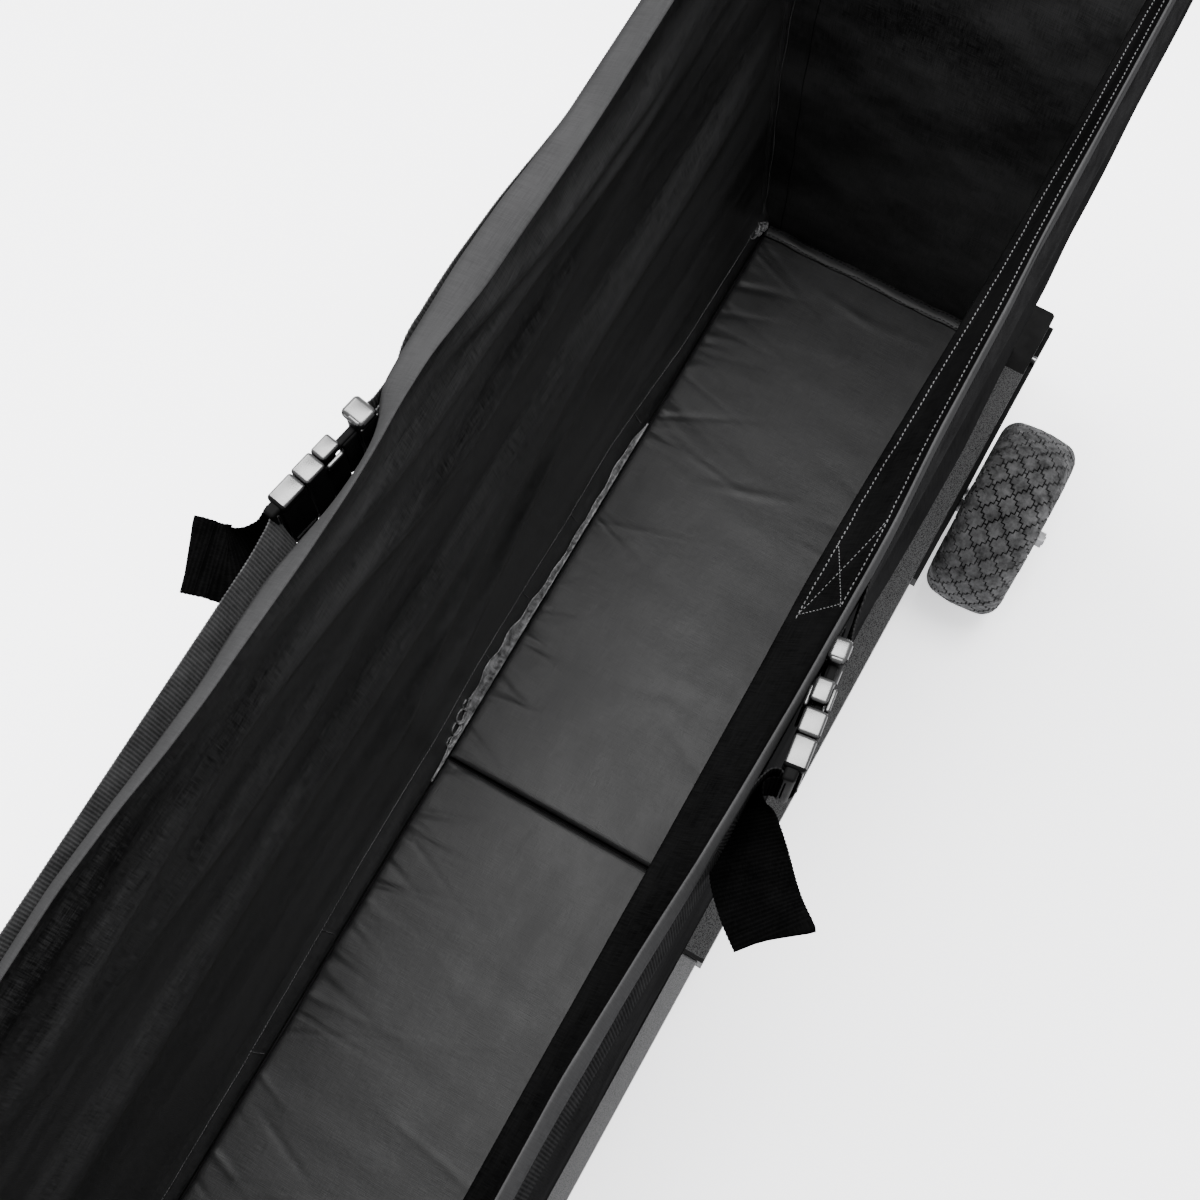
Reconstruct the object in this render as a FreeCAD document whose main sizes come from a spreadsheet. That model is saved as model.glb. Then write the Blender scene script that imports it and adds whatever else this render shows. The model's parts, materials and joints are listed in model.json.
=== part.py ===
import FreeCAD, Part
import math
import os
import Sketcher

# Long open-top gear bag strapped on an extendable steel chassis with two wide wheels.
# +X runs along the bag towards the wheel end, +Y to its left side, +Z up, millimetres.
# The origin is on the ground, under the middle of the object.

DIMENSIONS = {
    # bag
    "floor_top": 176.5, "floor_thick": 12.2, "bag_half_len": 657.0, "bag_half_wide": 143.3,
    "end_thick": 15.0, "base_bottom": 151.8, "base_top": 164.0, "wall_bottom": 164.2,
    "wall_foot_y": 147.0, "wall_mid_y": 157.0, "wall_mid_z": 500.0, "wall_top": 900.0,
    "rim_in_y": 148.0, "rim_out_y": 155.5, "band_in_y": 126.0, "band_out_y": 155.5,
    "band_low": 840.0, "facing_low": 822.0, "hem_thick": 4.3, "hem_in_y": 147.0,
    "hem_out_y": 157.0, "fold_gap": 1.5, "panel_side_gap": 2.3,
    # compression strap and buckles
    "web_wide": 50.0, "web_thick": 2.0, "web_low": 836.0, "strap_y": 155.8,
    "sewn_start": 66.0, "free_end": -640.0, "free_y_left": 178.0, "free_y_right": 156.4,
    "buckle_len": 96.0, "buckle_wide": 64.0, "buckle_thick": 12.0, "buckle_mid_z": 861.0,
    "buckle_x_left": 50.0, "buckle_x_right": 61.0, "buckle_y_left": 167.8,
    "buckle_y_right": 163.6, "buckle_turn_left": 10.5, "buckle_turn_right": 7.0,
    "tail_z": 866.0,
    # chassis
    "rail_out_y": 168.0, "rail_wide": 30.0, "rail_deep": 40.0, "rail_wall": 2.5,
    "rail_top": 151.5, "slide_gap": 3.0, "outer_front": -46.0, "outer_rear": 652.0,
    "cap_len": 80.0, "cap_chamfer": 3.0, "plug_len": 25.0, "fit_gap": 0.3,
    "bush_flange": 4.0, "bush_long": 40.0, "inner_front": -726.0,
    "inner_rear": 400.0, "bar_wide": 30.0, "bar_deep": 25.0, "bar_front_x": 60.0,
    "bar_rear_x": 618.0, "inner_bar_x": -390.0,
    # wheels
    "axle_x": 517.0, "axle_r": 5.0, "run_gap": 0.05, "tyre_r": 101.5, "tyre_wide": 81.0,
    "tyre_in_y": 177.5, "tyre_seat_r": 62.0, "shoulder_r": 14.0, "bracket_thick": 5.0,
    "bracket_front": 400.0, "bracket_rear": 724.0, "bracket_top": 137.0,
    "bracket_low": 116.0, "lug_half": 34.0, "lug_low": 84.0, "nut_wide": 16.0,
    "nut_thick": 8.0, "washer_r": 14.0, "washer_thick": 2.0, "bolt_x": 677.0,
    "bolt_z": 144.0, "bolt_r": 4.0, "bolt_head": 4.5,
    # swivel casters
    "caster_x": -650.0, "caster_y": 153.0, "plate_long": 70.0, "plate_wide": 50.0,
    "plate_thick": 3.0, "king_r": 6.0, "race_r": 22.0, "race_deep": 9.0, "trail": 28.0,
    "caster_r": 37.5, "caster_wide": 24.0, "fork_thick": 3.0, "fork_in": 26.0,
    "pin_r": 4.0,
    # clamp knobs
    "knob_x": 20.0, "knob_r": 13.5, "knob_deep": 14.0, "knob_low": 84.0, "stem_r": 4.0,
    # tow handle
    "handle_x": -714.0, "handle_z": 165.0, "handle_y": 110.0, "handle_r": 11.0,
    "handle_bend": 60.0, "handle_top": 910.0, "handle_wall": 1.6, "ear_thick": 3.5, "ear_gap": 0.4,
    "grip_r": 15.0, "grip_half": 45.0,
}

doc = FreeCAD.newDocument("WheeledBag")
sheet = doc.addObject("Spreadsheet::Sheet", "Sizes")
for row, (alias, size) in enumerate(DIMENSIONS.items(), start=1):
    sheet.set("A%d" % row, alias)
    sheet.set("B%d" % row, str(size))
    sheet.setAlias("B%d" % row, alias)
doc.recompute()

nodes = []
AXES = ("x", "y", "z")
SIDES = (("left", 1), ("right", -1))


def formula(text):
    """Writes each sheet alias in a formula in full, as Sizes.alias."""
    words = text.replace("(", " ( ").replace(")", " ) ").split()
    return " ".join("Sizes." + word if word in DIMENSIONS else word for word in words)


def bind(thing, path, text):
    thing.setExpression(path, formula(text))


def put(thing, place):
    for axis, text in zip(AXES, place):
        bind(thing, "Placement.Base." + axis, text)


def node(thing, label):
    thing.Label = label
    nodes.append(thing)
    return thing


# ---- Part primitives and booleans -------------------------------------------------------

def box(name, low, size):
    piece = doc.addObject("Part::Box", name)
    for path, text in zip(("Length", "Width", "Height"), size):
        bind(piece, path, text)
    put(piece, low)
    return piece


def rod(name, start, radius, length, along="z"):
    """A cylinder from start, running towards + along."""
    piece = doc.addObject("Part::Cylinder", name)
    bind(piece, "Radius", radius)
    bind(piece, "Height", length)
    turn = {"x": (0, 1, 0, 90), "y": (1, 0, 0, -90), "z": (0, 0, 1, 0)}[along]
    piece.Placement = FreeCAD.Placement(
        FreeCAD.Vector(), FreeCAD.Rotation(FreeCAD.Vector(*turn[:3]), turn[3]))
    put(piece, start)
    return piece


def join(name, pieces):
    whole = doc.addObject("Part::MultiFuse", name)
    whole.Shapes = pieces
    return whole


def cut(name, base, tool):
    whole = doc.addObject("Part::Cut", name)
    whole.Base = base
    whole.Tool = tool
    return whole


def group(name, pieces):
    """Identical fasteners kept as separate solids of one node."""
    whole = doc.addObject("Part::Compound", name)
    whole.Links = pieces
    return whole


# ---- PartDesign bodies ------------------------------------------------------------------

def new_body(name):
    return doc.addObject("PartDesign::Body", name)


def sketch_on(body, role, name, offset=None):
    plane = next(item for item in body.Origin.OriginFeatures if item.Role == role)
    sketch = body.newObject("Sketcher::SketchObject", name)
    sketch.AttachmentSupport = [(plane, "")]
    sketch.MapMode = "FlatFace"
    if offset is not None:
        bind(sketch, "AttachmentOffset.Base.z", offset)
    return sketch


def outline(sketch, corners):
    """A closed polygon whose every corner is held by two bound distances."""
    first = sketch.GeometryCount
    count = len(corners)
    spots = [FreeCAD.Vector(50 * math.cos(2 * math.pi * k / count),
                            50 * math.sin(2 * math.pi * k / count), 0) for k in range(count)]
    for k in range(count):
        sketch.addGeometry(Part.LineSegment(spots[k], spots[(k + 1) % count]), False)
    for k in range(count):
        after = first + (k + 1) % count
        sketch.addConstraint(Sketcher.Constraint("Coincident", first + k, 2, after, 1))
    for k, corner in enumerate(corners):
        for kind, here, text in zip(("DistanceX", "DistanceY"), (spots[k].x, spots[k].y), corner):
            held = sketch.addConstraint(Sketcher.Constraint(kind, -1, 1, first + k, 1, here))
            sketch.renameConstraint(held, "%s_%d" % (kind, first + k))
            bind(sketch, "Constraints.%s_%d" % (kind, first + k), text)


def ring(sketch, x, y, radius):
    """A circle held by its centre and radius."""
    index = sketch.addGeometry(Part.Circle(FreeCAD.Vector(10, 10, 0),
                                           FreeCAD.Vector(0, 0, 1), 5), False)
    for kind, text in (("DistanceX", x), ("DistanceY", y)):
        held = sketch.addConstraint(Sketcher.Constraint(kind, -1, 1, index, 3, 10))
        sketch.renameConstraint(held, "%s_%d" % (kind, index))
        bind(sketch, "Constraints.%s_%d" % (kind, index), text)
    held = sketch.addConstraint(Sketcher.Constraint("Radius", index, 5))
    sketch.renameConstraint(held, "Radius_%d" % index)
    bind(sketch, "Constraints.Radius_%d" % index, radius)


def pad(body, sketch, length):
    feature = body.newObject("PartDesign::Pad", body.Name + "Pad")
    feature.Profile = sketch
    bind(feature, "Length", length)
    sketch.Visibility = False
    return feature


def spin(body, sketch):
    feature = body.newObject("PartDesign::Revolution", body.Name + "Turned")
    feature.Profile = sketch
    feature.ReferenceAxis = (sketch, ["V_Axis"])
    feature.Angle = 360
    return feature


def rectangle(low_x, low_y, high_x, high_y):
    return [(low_x, low_y), (high_x, low_y), (high_x, high_y), (low_x, high_y)]


def padded(name, role, offset, length, corners, holes=()):
    """A body padded from one outline, with round holes."""
    body = new_body(name)
    sketch = sketch_on(body, role, name + "Sketch", offset)
    outline(sketch, corners)
    for hole in holes:
        ring(sketch, *hole)
    pad(body, sketch, length)
    return body


def tube_body(name, start, length, low_y, high_y, low_z, high_z):
    """A box tube along X."""
    body = new_body(name)
    sketch = sketch_on(body, "YZ_Plane", name + "Section", start)
    outline(sketch, rectangle(low_y, low_z, high_y, high_z))
    outline(sketch, rectangle("%s + rail_wall" % low_y, "%s + rail_wall" % low_z,
                              "%s - rail_wall" % high_y, "%s - rail_wall" % high_z))
    pad(body, sketch, length)
    return body


# ---- chassis ----------------------------------------------------------------------------

INNER_STEP = "rail_wall + slide_gap"


def rail_edges(side, step):
    """Low and high Y of a rail set in by step from the outer rail's faces."""
    near = "rail_out_y - rail_wide + %s" % step
    far = "rail_out_y - ( %s )" % step
    return (near, far) if side > 0 else ("-1 * ( %s )" % far, "-1 * ( %s )" % near)


def chassis_rails():
    for word, side in SIDES:
        title = word.capitalize()
        low, high = rail_edges(side, "0")
        rail = tube_body("OuterRail" + title, "outer_front", "outer_rear - outer_front",
                         low, high, "rail_top - rail_deep", "rail_top")
        hole = rod("KnobHole" + title,
                   ("knob_x", "%d * ( rail_out_y - rail_wide / 2 )" % side,
                    "rail_top - rail_deep - 1"), "stem_r + run_gap", "rail_wall + 2")
        node(cut("OuterRailDrilled" + title, rail, hole), "outer_rail_" + word)
        low, high = rail_edges(side, INNER_STEP)
        node(tube_body("InnerRail" + title, "inner_front", "inner_rear - inner_front", low, high,
                       "rail_top - rail_deep + " + INNER_STEP, "rail_top - ( %s )" % INNER_STEP),
             "inner_rail_" + word)


def rail_bushes():
    """A flanged plastic bush in each outer rail's mouth, in which the inner rail slides."""
    for word, side in SIDES:
        title = word.capitalize()
        body = new_body("RailBush" + title)
        sizes = (("Flange", "outer_front - bush_flange", "bush_flange", "0"),
                 ("Sleeve", "outer_front", "bush_long", "rail_wall + 0.1"))
        for name, start, length, step in sizes:
            sketch = sketch_on(body, "YZ_Plane", "Bush" + name + title, start)
            for inset in (step, "rail_wall + slide_gap - fit_gap"):
                low, high = rail_edges(side, inset)
                outline(sketch, rectangle(low, "rail_top - rail_deep + " + inset,
                                          high, "rail_top - ( %s )" % inset))
            pad(body, sketch, length)
        node(body, "rail_bush_" + word)


def rail_ends():
    for word, side in SIDES:
        title = word.capitalize()
        near = "%d * ( rail_out_y - rail_wide )" % side
        far = "%d * rail_out_y" % side
        bevel = "%d * ( rail_out_y - cap_chamfer )" % side
        tip = "outer_rear + cap_len"
        body = padded("RearCap" + title, "XY_Plane", "rail_top - rail_deep", "rail_deep",
                      [("outer_rear", near), ("outer_rear", far), (tip + " - cap_chamfer", far),
                       (tip, bevel), (tip, near)])
        plug_gap = "rail_wall + fit_gap"
        plug = sketch_on(body, "YZ_Plane", "Plug%s" % title, "outer_rear - plug_len")
        low, high = rail_edges(side, plug_gap)
        outline(plug, rectangle(low, "rail_top - rail_deep + " + plug_gap,
                                high, "rail_top - ( %s )" % plug_gap))
        pad(body, plug, "plug_len + 1")
        node(body, "rear_cap_" + word)
        low, high = rail_edges(side, INNER_STEP)
        front = padded("FrontCap" + title, "YZ_Plane", "inner_front - 6", "6",
                       rectangle(low, "rail_top - rail_deep + " + INNER_STEP,
                                 high, "rail_top - ( %s )" % INNER_STEP))
        inside = "rail_wall * 2 + slide_gap + fit_gap"
        stub = sketch_on(front, "YZ_Plane", "Stub%s" % title, "inner_front - 1")
        low, high = rail_edges(side, inside)
        outline(stub, rectangle(low, "rail_top - rail_deep + " + inside,
                                high, "rail_top - ( %s )" % inside))
        pad(front, stub, "plug_len")
        node(front, "front_cap_" + word)


def crossbars():
    half = "( rail_out_y - rail_wide )"
    for word, place in (("front", "bar_front_x"), ("rear", "bar_rear_x")):
        node(box("OuterBar" + word, (place + " - bar_wide / 2", "-1 * %s" % half,
                                     "rail_top - bar_deep"),
                 ("bar_wide", "2 * %s" % half, "bar_deep")), "outer_crossbar_" + word)
    reach = "( rail_out_y - rail_wide + %s )" % INNER_STEP
    for word, place in (("front", "inner_front"), ("rear", "inner_bar_x")):
        node(box("InnerBar" + word, (place, "-1 * %s" % reach,
                                     "rail_top - rail_wall - slide_gap - bar_deep"),
                 ("bar_wide", "2 * %s" % reach, "bar_deep")), "inner_crossbar_" + word)


RAIL_UNDER = "( rail_top - rail_deep + rail_wall + slide_gap )"


def clamp_knobs():
    for word, side in SIDES:
        title = word.capitalize()
        place_y = "%d * ( rail_out_y - rail_wide / 2 )" % side
        head = rod("KnobHead" + title, ("knob_x", place_y, "knob_low"), "knob_r", "knob_deep")
        lobes = []
        for k in range(6):
            angle = math.radians(60 * k)
            lobes.append(rod("KnobScoop%s%d" % (title, k),
                             ("knob_x + %.6f * ( knob_r + 2 )" % math.cos(angle),
                              place_y + " + %.6f * ( knob_r + 2 )" % math.sin(angle),
                              "knob_low - 1"), "4", "knob_deep + 2"))
        grip = cut("KnobGrip" + title, head, join("KnobScoops" + title, lobes))
        stem = rod("KnobStem" + title, ("knob_x", place_y, "knob_low + knob_deep - 1"), "stem_r",
                   RAIL_UNDER + " - fit_gap - knob_low - knob_deep + 1")
        node(join("ClampKnob" + title, [grip, stem]), "clamp_knob_" + word)


# ---- wheels -----------------------------------------------------------------------------

def wheel_brackets():
    for word, side in SIDES:
        edge = "-1 * ( rail_out_y + bracket_thick )" if side > 0 else "rail_out_y"
        corners = [("bracket_front", "bracket_top"), ("bracket_front", "bracket_low"),
                   ("axle_x - lug_half - 20", "bracket_low"), ("axle_x - lug_half / 2", "lug_low"),
                   ("axle_x + lug_half / 2", "lug_low"), ("axle_x + lug_half + 20", "bracket_low"),
                   ("bracket_rear", "bracket_low"), ("bracket_rear", "bracket_top")]
        node(padded("AxleBracket" + word, "XZ_Plane", edge, "bracket_thick", corners,
                    [("axle_x", "tyre_r", "axle_r + run_gap")]), "axle_bracket_" + word)


def axle_set():
    reach = "( tyre_in_y + tyre_wide + 2 + nut_thick + 0.5 )"
    node(rod("AxleRod", ("axle_x", "-1 * " + reach, "tyre_r"), "axle_r", "2 * " + reach, "y"),
         "wheel_axle")
    nuts = []
    washers = []
    for word, side in SIDES:
        out = "tyre_in_y + tyre_wide + 1.3"
        edge = "-1 * ( %s + nut_thick )" % out if side > 0 else out
        flats = [("axle_x + nut_wide / 1.732051 * %.6f" % math.cos(math.radians(60 * k)),
                  "tyre_r + nut_wide / 1.732051 * %.6f" % math.sin(math.radians(60 * k)))
                 for k in range(6)]
        nuts.append(padded("AxleNut" + word, "XZ_Plane", edge, "nut_thick", flats,
                           [("axle_x", "tyre_r", "axle_r + run_gap")]))
        low = "rail_out_y + bracket_thick + 0.2"
        start = low if side > 0 else "-1 * ( %s + washer_thick )" % low
        disc = rod("WasherDisc" + word, ("axle_x", start, "tyre_r"), "washer_r",
                   "washer_thick", "y")
        hole = rod("WasherHole" + word, ("axle_x", start + " - 1", "tyre_r"),
                   "axle_r + run_gap", "washer_thick + 2", "y")
        washers.append(cut("Washer" + word, disc, hole))
    node(group("AxleNuts", nuts), "axle_nuts")
    node(group("WheelWashers", washers), "wheel_washers")


def wheels():
    for word, side in SIDES:
        hub = new_body("WheelHub" + word)
        sketch = sketch_on(hub, "XY_Plane", "HubHalfSection" + word)
        near = "tyre_in_y + 6"
        far = "tyre_in_y + tyre_wide - 6"
        inner = "rail_out_y + bracket_thick + washer_thick + 0.6"
        outer = "tyre_in_y + tyre_wide + 1"
        half = [("axle_r + run_gap", inner), ("18", inner), ("18", near),
                ("tyre_seat_r - 0.1", near), ("tyre_seat_r - 0.1", far), ("18", far),
                ("18", outer), ("axle_r + run_gap", outer)]
        outline(sketch, [(r, "%d * ( %s )" % (side, y)) for r, y in half])
        spin(hub, sketch)
        put(hub, ("axle_x", "0", "tyre_r"))
        node(hub, "wheel_hub_" + word)

        tyre = new_body("Tyre" + word)
        sketch = sketch_on(tyre, "XY_Plane", "TyreHalfSection" + word)
        outline(sketch, [(r, "%d * ( %s )" % (side, y)) for r, y in rectangle(
            "tyre_seat_r", "tyre_in_y", "tyre_r", "tyre_in_y + tyre_wide")])
        turned = spin(tyre, sketch)
        doc.recompute()
        tread = [number for number, edge in enumerate(turned.Shape.Edges, start=1)
                 if edge.BoundBox.XLength > 2 * DIMENSIONS["tyre_r"] - 1]
        crown = tyre.newObject("PartDesign::Fillet", "TyreShoulder" + word)
        crown.Base = (turned, ["Edge%d" % number for number in tread])
        bind(crown, "Radius", "shoulder_r")
        put(tyre, ("axle_x", "0", "tyre_r"))
        node(tyre, "tyre_" + word)


def end_bolts():
    bolts = []
    for word, side in SIDES:
        start = "rail_out_y + 0.1" if side > 0 else "-1 * ( rail_out_y + 0.1 + bolt_head )"
        bolts.append(rod("EndBolt" + word, ("bolt_x", start, "bolt_z"), "bolt_r", "bolt_head",
                         "y"))
    node(group("EndBolts", bolts), "cap_bolts")


# ---- swivel casters ---------------------------------------------------------------------

def casters():
    for word, side in SIDES:
        title = word.capitalize()
        mid = "%d * caster_y" % side
        plate = box("CasterPlate" + title,
                    ("caster_x - plate_long / 2", mid + " - plate_wide / 2",
                     RAIL_UNDER + " - plate_thick"), ("plate_long", "plate_wide", "plate_thick"))
        hole = rod("CasterHole" + title,
                   ("caster_x", mid, RAIL_UNDER + " - plate_thick - 1"), "king_r + run_gap",
                   "plate_thick + 2")
        node(cut("CasterTopPlate" + title, plate, hole), "caster_plate_" + word)

        top = RAIL_UNDER + " - plate_thick - 0.4"
        race = rod("CasterRace" + title, ("caster_x", mid, top + " - race_deep"), "race_r",
                   "race_deep")
        king = rod("CasterKing" + title, ("caster_x", mid, top + " - 1"), "king_r",
                   "plate_thick + 1")
        arms = []
        for name, shift in (("A", "fork_in / 2"), ("B", "-1 * fork_in / 2 - fork_thick")):
            place = mid + " + " + shift
            arms.append(box("CasterArm" + name + title,
                            ("caster_x - 12", place, "caster_r - 9"),
                            ("trail + 24", "fork_thick", top + " - race_deep - caster_r + 12")))
        rivet = rod("CasterRivet" + title,
                    ("caster_x + trail", mid + " - fork_in / 2 - fork_thick", "caster_r"),
                    "pin_r", "fork_in + 2 * fork_thick", "y")
        node(join("CasterFork" + title, [race, king] + arms + [rivet]), "caster_fork_" + word)

        wheel = new_body("CasterWheel" + title)
        sketch = sketch_on(wheel, "XY_Plane", "CasterHalfSection" + title)
        outline(sketch, [("pin_r + run_gap", "-1 * caster_wide / 2"),
                         ("caster_r - 4", "-1 * caster_wide / 2"),
                         ("caster_r", "-1 * caster_wide / 2 + 5"),
                         ("caster_r", "caster_wide / 2 - 5"),
                         ("caster_r - 4", "caster_wide / 2"),
                         ("pin_r + run_gap", "caster_wide / 2")])
        spin(wheel, sketch)
        put(wheel, ("caster_x + trail", mid, "caster_r"))
        node(wheel, "caster_wheel_" + word)


# ---- tow handle -------------------------------------------------------------------------

def quarter_bend(name, side, radius):
    """The tube's bend between a leg and the top bar, in the YZ plane."""
    bend = doc.addObject("Part::Torus", name)
    bind(bend, "Radius1", "handle_bend")
    bind(bend, "Radius2", radius)
    bend.Angle3 = 90
    across = FreeCAD.Vector(0, 1, 0)
    up = FreeCAD.Vector(0, 0, 1)
    start, end = (across, up) if side > 0 else (up, -across)
    turn = FreeCAD.Rotation(start, end, FreeCAD.Vector(1, 0, 0), "ZXY")
    bend.Placement = FreeCAD.Placement(FreeCAD.Vector(), turn)
    put(bend, ("handle_x", "%d * ( handle_y - handle_bend )" % side, "handle_top - handle_bend"))
    return bend


def handle_run(name, radius):
    """Both legs, both bends and the top bar, as a rod of one radius."""
    parts = []
    for word, side in SIDES:
        title = name + word.capitalize()
        parts.append(rod("HandleLeg" + title, ("handle_x", "%d * handle_y" % side,
                                               "handle_z - 9"),
                         radius, "handle_top - handle_bend - handle_z + 9"))
        parts.append(quarter_bend("HandleBend" + title, side, radius))
    span = "( handle_y - handle_bend )"
    parts.append(rod("HandleBar" + name, ("handle_x", "-1 * " + span, "handle_top"), radius,
                     "2 * " + span, "y"))
    return join("HandleRun" + name, parts)


def tow_handle():
    holes = []
    for word, side in SIDES:
        leg_y = "%d * handle_y" % side
        holes.append(rod("HandleHole" + word,
                         ("handle_x", leg_y + " - handle_r - 1", "handle_z"),
                         "pin_r + run_gap", "2 * handle_r + 2", "y"))
    hollow = handle_run("Inside", "handle_r - handle_wall")
    node(cut("TowHandle", handle_run("Outside", "handle_r"),
             join("HandleHollow", [hollow] + holes)), "tow_handle")
    sleeve = rod("GripSleeve", ("handle_x", "-1 * grip_half", "handle_top"), "grip_r",
                 "2 * grip_half", "y")
    core = rod("GripCore", ("handle_x", "-1 * grip_half - 1", "handle_top"), "handle_r + 0.1",
               "2 * grip_half + 2", "y")
    node(cut("HandleGrip", sleeve, core), "handle_grip")

    foot = "( rail_top - rail_wall - slide_gap )"
    for word, side in SIDES:
        title = word.capitalize()
        reach = "( handle_r + ear_gap + ear_thick )"
        mid = "%d * handle_y" % side
        pieces = [box("HingeFoot" + title, ("handle_x - 11.5", mid + " - " + reach, foot),
                      ("23", "2 * " + reach, "2"))]
        for name, low in (("A", mid + " - " + reach), ("B", mid + " + handle_r + ear_gap")):
            pieces.append(box("HingeEar" + name + title, ("handle_x - 9", low, foot),
                              ("18", "ear_thick", "handle_z - %s + 9" % foot)))
        pieces.append(rod("HingePin" + title, ("handle_x", mid + " - " + reach, "handle_z"),
                          "pin_r", "2 * " + reach, "y"))
        node(join("HandleHinge" + title, pieces), "handle_hinge_" + word)


# ---- bag --------------------------------------------------------------------------------

def bag_shell():
    outer = "bag_half_len + end_thick"
    node(box("BagBase", ("-1 * ( %s )" % outer, "-1 * wall_foot_y", "base_bottom"),
             ("2 * ( %s )" % outer, "2 * wall_foot_y", "base_top - base_bottom")), "bag_base")
    profile = [("bag_half_wide", "wall_bottom"), ("bag_half_wide", "facing_low"),
               ("band_in_y", "band_low"), ("rim_in_y", "wall_top"), ("rim_out_y", "wall_top"),
               ("band_out_y", "band_low"), ("wall_mid_y", "wall_mid_z"),
               ("wall_foot_y", "wall_bottom")]
    for word, side in SIDES:
        node(padded("BagSide" + word, "YZ_Plane", "-1 * ( %s )" % outer, "2 * ( %s )" % outer,
                    [("%d * %s" % (side, y), z) for y, z in profile]), "bag_side_" + word)
    half = [("bag_half_wide - 0.3", "wall_bottom"), ("bag_half_wide - 0.3", "facing_low - 0.3"),
            ("band_in_y - 0.3", "band_low - 0.3"), ("rim_in_y - 0.3", "wall_top")]
    rounds = half + [("-1 * ( %s )" % y, z) for y, z in reversed(half)]
    for word, start in (("front", "-1 * ( %s )" % outer), ("rear", "bag_half_len")):
        node(padded("BagEnd" + word, "YZ_Plane", start, "end_thick", rounds), "bag_end_" + word)


def rim_hem():
    outer = "( bag_half_len + end_thick )"
    low = "wall_top + 0.2"
    for word, side in SIDES:
        edge = "hem_in_y" if side > 0 else "-1 * hem_out_y"
        node(box("Hem" + word, ("-1 * " + outer, edge, low),
                 ("2 * " + outer, "hem_out_y - hem_in_y", "hem_thick")), "hem_" + word)
    for word, start in (("front", "-1 * " + outer), ("rear", "bag_half_len + 3")):
        node(box("Hem" + word, (start, "-1 * ( hem_in_y - 0.3 )", low),
                 ("end_thick - 3", "2 * ( hem_in_y - 0.3 )", "hem_thick")), "hem_" + word)


def floor_panels():
    wide = "( bag_half_wide - panel_side_gap )"
    long = "( bag_half_len - 1.5 - fold_gap )"
    for word, start in (("front", "-1 * ( %s + fold_gap )" % long), ("rear", "fold_gap")):
        node(box("FloorPanel" + word, (start, "-1 * " + wide, "floor_top - floor_thick"),
                 (long, "2 * " + wide, "floor_thick")), "floor_panel_" + word)


# ---- compression strap and buckles ------------------------------------------------------

def straps():
    outer = "( bag_half_len + end_thick )"
    for word, side in SIDES:
        edge = "strap_y" if side > 0 else "-1 * ( strap_y + web_thick )"
        node(box("StrapRear" + word, ("sewn_start", edge, "web_low"),
                 (outer + " - sewn_start", "web_thick", "web_wide")), "strap_rear_" + word)
        place = "free_y_" + word
        edge = place if side > 0 else "-1 * ( %s + web_thick )" % place
        node(box("StrapFront" + word, ("free_end", edge, "web_low"),
                 ("buckle_x_%s - buckle_len - 4 - free_end" % word, "web_thick", "web_wide")),
             "strap_front_" + word)
    for word, start in (("rear", outer + " + 0.3"), ("front", "-1 * ( %s + 0.3 + web_thick )"
                                                     % outer)):
        node(box("StrapEnd" + word, (start, "-1 * strap_y", "web_low"),
                 ("web_thick", "2 * strap_y", "web_wide")), "strap_end_" + word)


def tails():
    """The free webbing ends, which stand out sideways from behind the near runs."""
    for word, side, corners in (
            ("left", 1, [(0, "184"), (54, "184"), (60, "209"), (2, "230")]),
            ("right", -1, [(0, "162"), (66, "162"), (92, "190"), (62, "229")])):
        start = "buckle_x_%s - buckle_len - 1" % word
        node(padded("StrapTail" + word, "XY_Plane", "tail_z", "web_thick",
                    [("%s - %d" % (start, back), "%d * %s" % (side, y))
                     for back, y in corners]), "strap_tail_" + word)


def turned(piece, side, word):
    """Sets a buckle half in place: local X runs from the sewn end to the free end."""
    lean = side * DIMENSIONS["buckle_turn_" + word]
    turn = FreeCAD.Rotation(FreeCAD.Vector(0, 0, 1), 180 - lean)
    piece.Placement = FreeCAD.Placement(FreeCAD.Vector(), turn)
    put(piece, ("buckle_x_" + word, "%d * buckle_y_%s" % (side, word), "buckle_mid_z"))
    return piece


def slab(name, low_x, high_x, half_wide, half_thick):
    """A block centred on the buckle's own X axis."""
    return box(name, (low_x, "-1 * ( %s )" % half_thick, "-1 * ( %s )" % half_wide),
               ("%s - ( %s )" % (high_x, low_x), "2 * ( %s )" % half_thick,
                "2 * ( %s )" % half_wide))


def male_half(word, side):
    """Webbing loop, neck, centre tongue and two spring arms with thumb pads."""
    half = "buckle_wide / 2"
    body = slab("MaleLoop" + word, "0", "16", half, "buckle_thick / 2")
    window = slab("MaleWindow" + word, "5", "11", half + " - 6", "buckle_thick")
    loop = cut("MaleFrame" + word, body, window)
    pieces = [loop, slab("MaleNeck" + word, "15", "27", half + " - 12", "3.5"),
              slab("MaleTongue" + word, "26", "70", "5", "3")]
    for name, sign in (("A", 1), ("B", -1)):
        low = "%d * ( buckle_wide / 2 - 13 )" % sign if sign > 0 else "-1 * ( buckle_wide / 2 - 8 )"
        pieces.append(box("MaleArm" + name + word, ("26", "-3", low), ("40", "6", "5")))
        low = "buckle_wide / 2 - 9" if sign > 0 else "-1 * buckle_wide / 2 + 1"
        pieces.append(box("MalePad" + name + word, ("32", "-4.7", low), ("14", "9.4", "8")))
    whole = join("BuckleMale" + word, pieces)
    node(turned(whole, side, word), "buckle_male_" + word)


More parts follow.
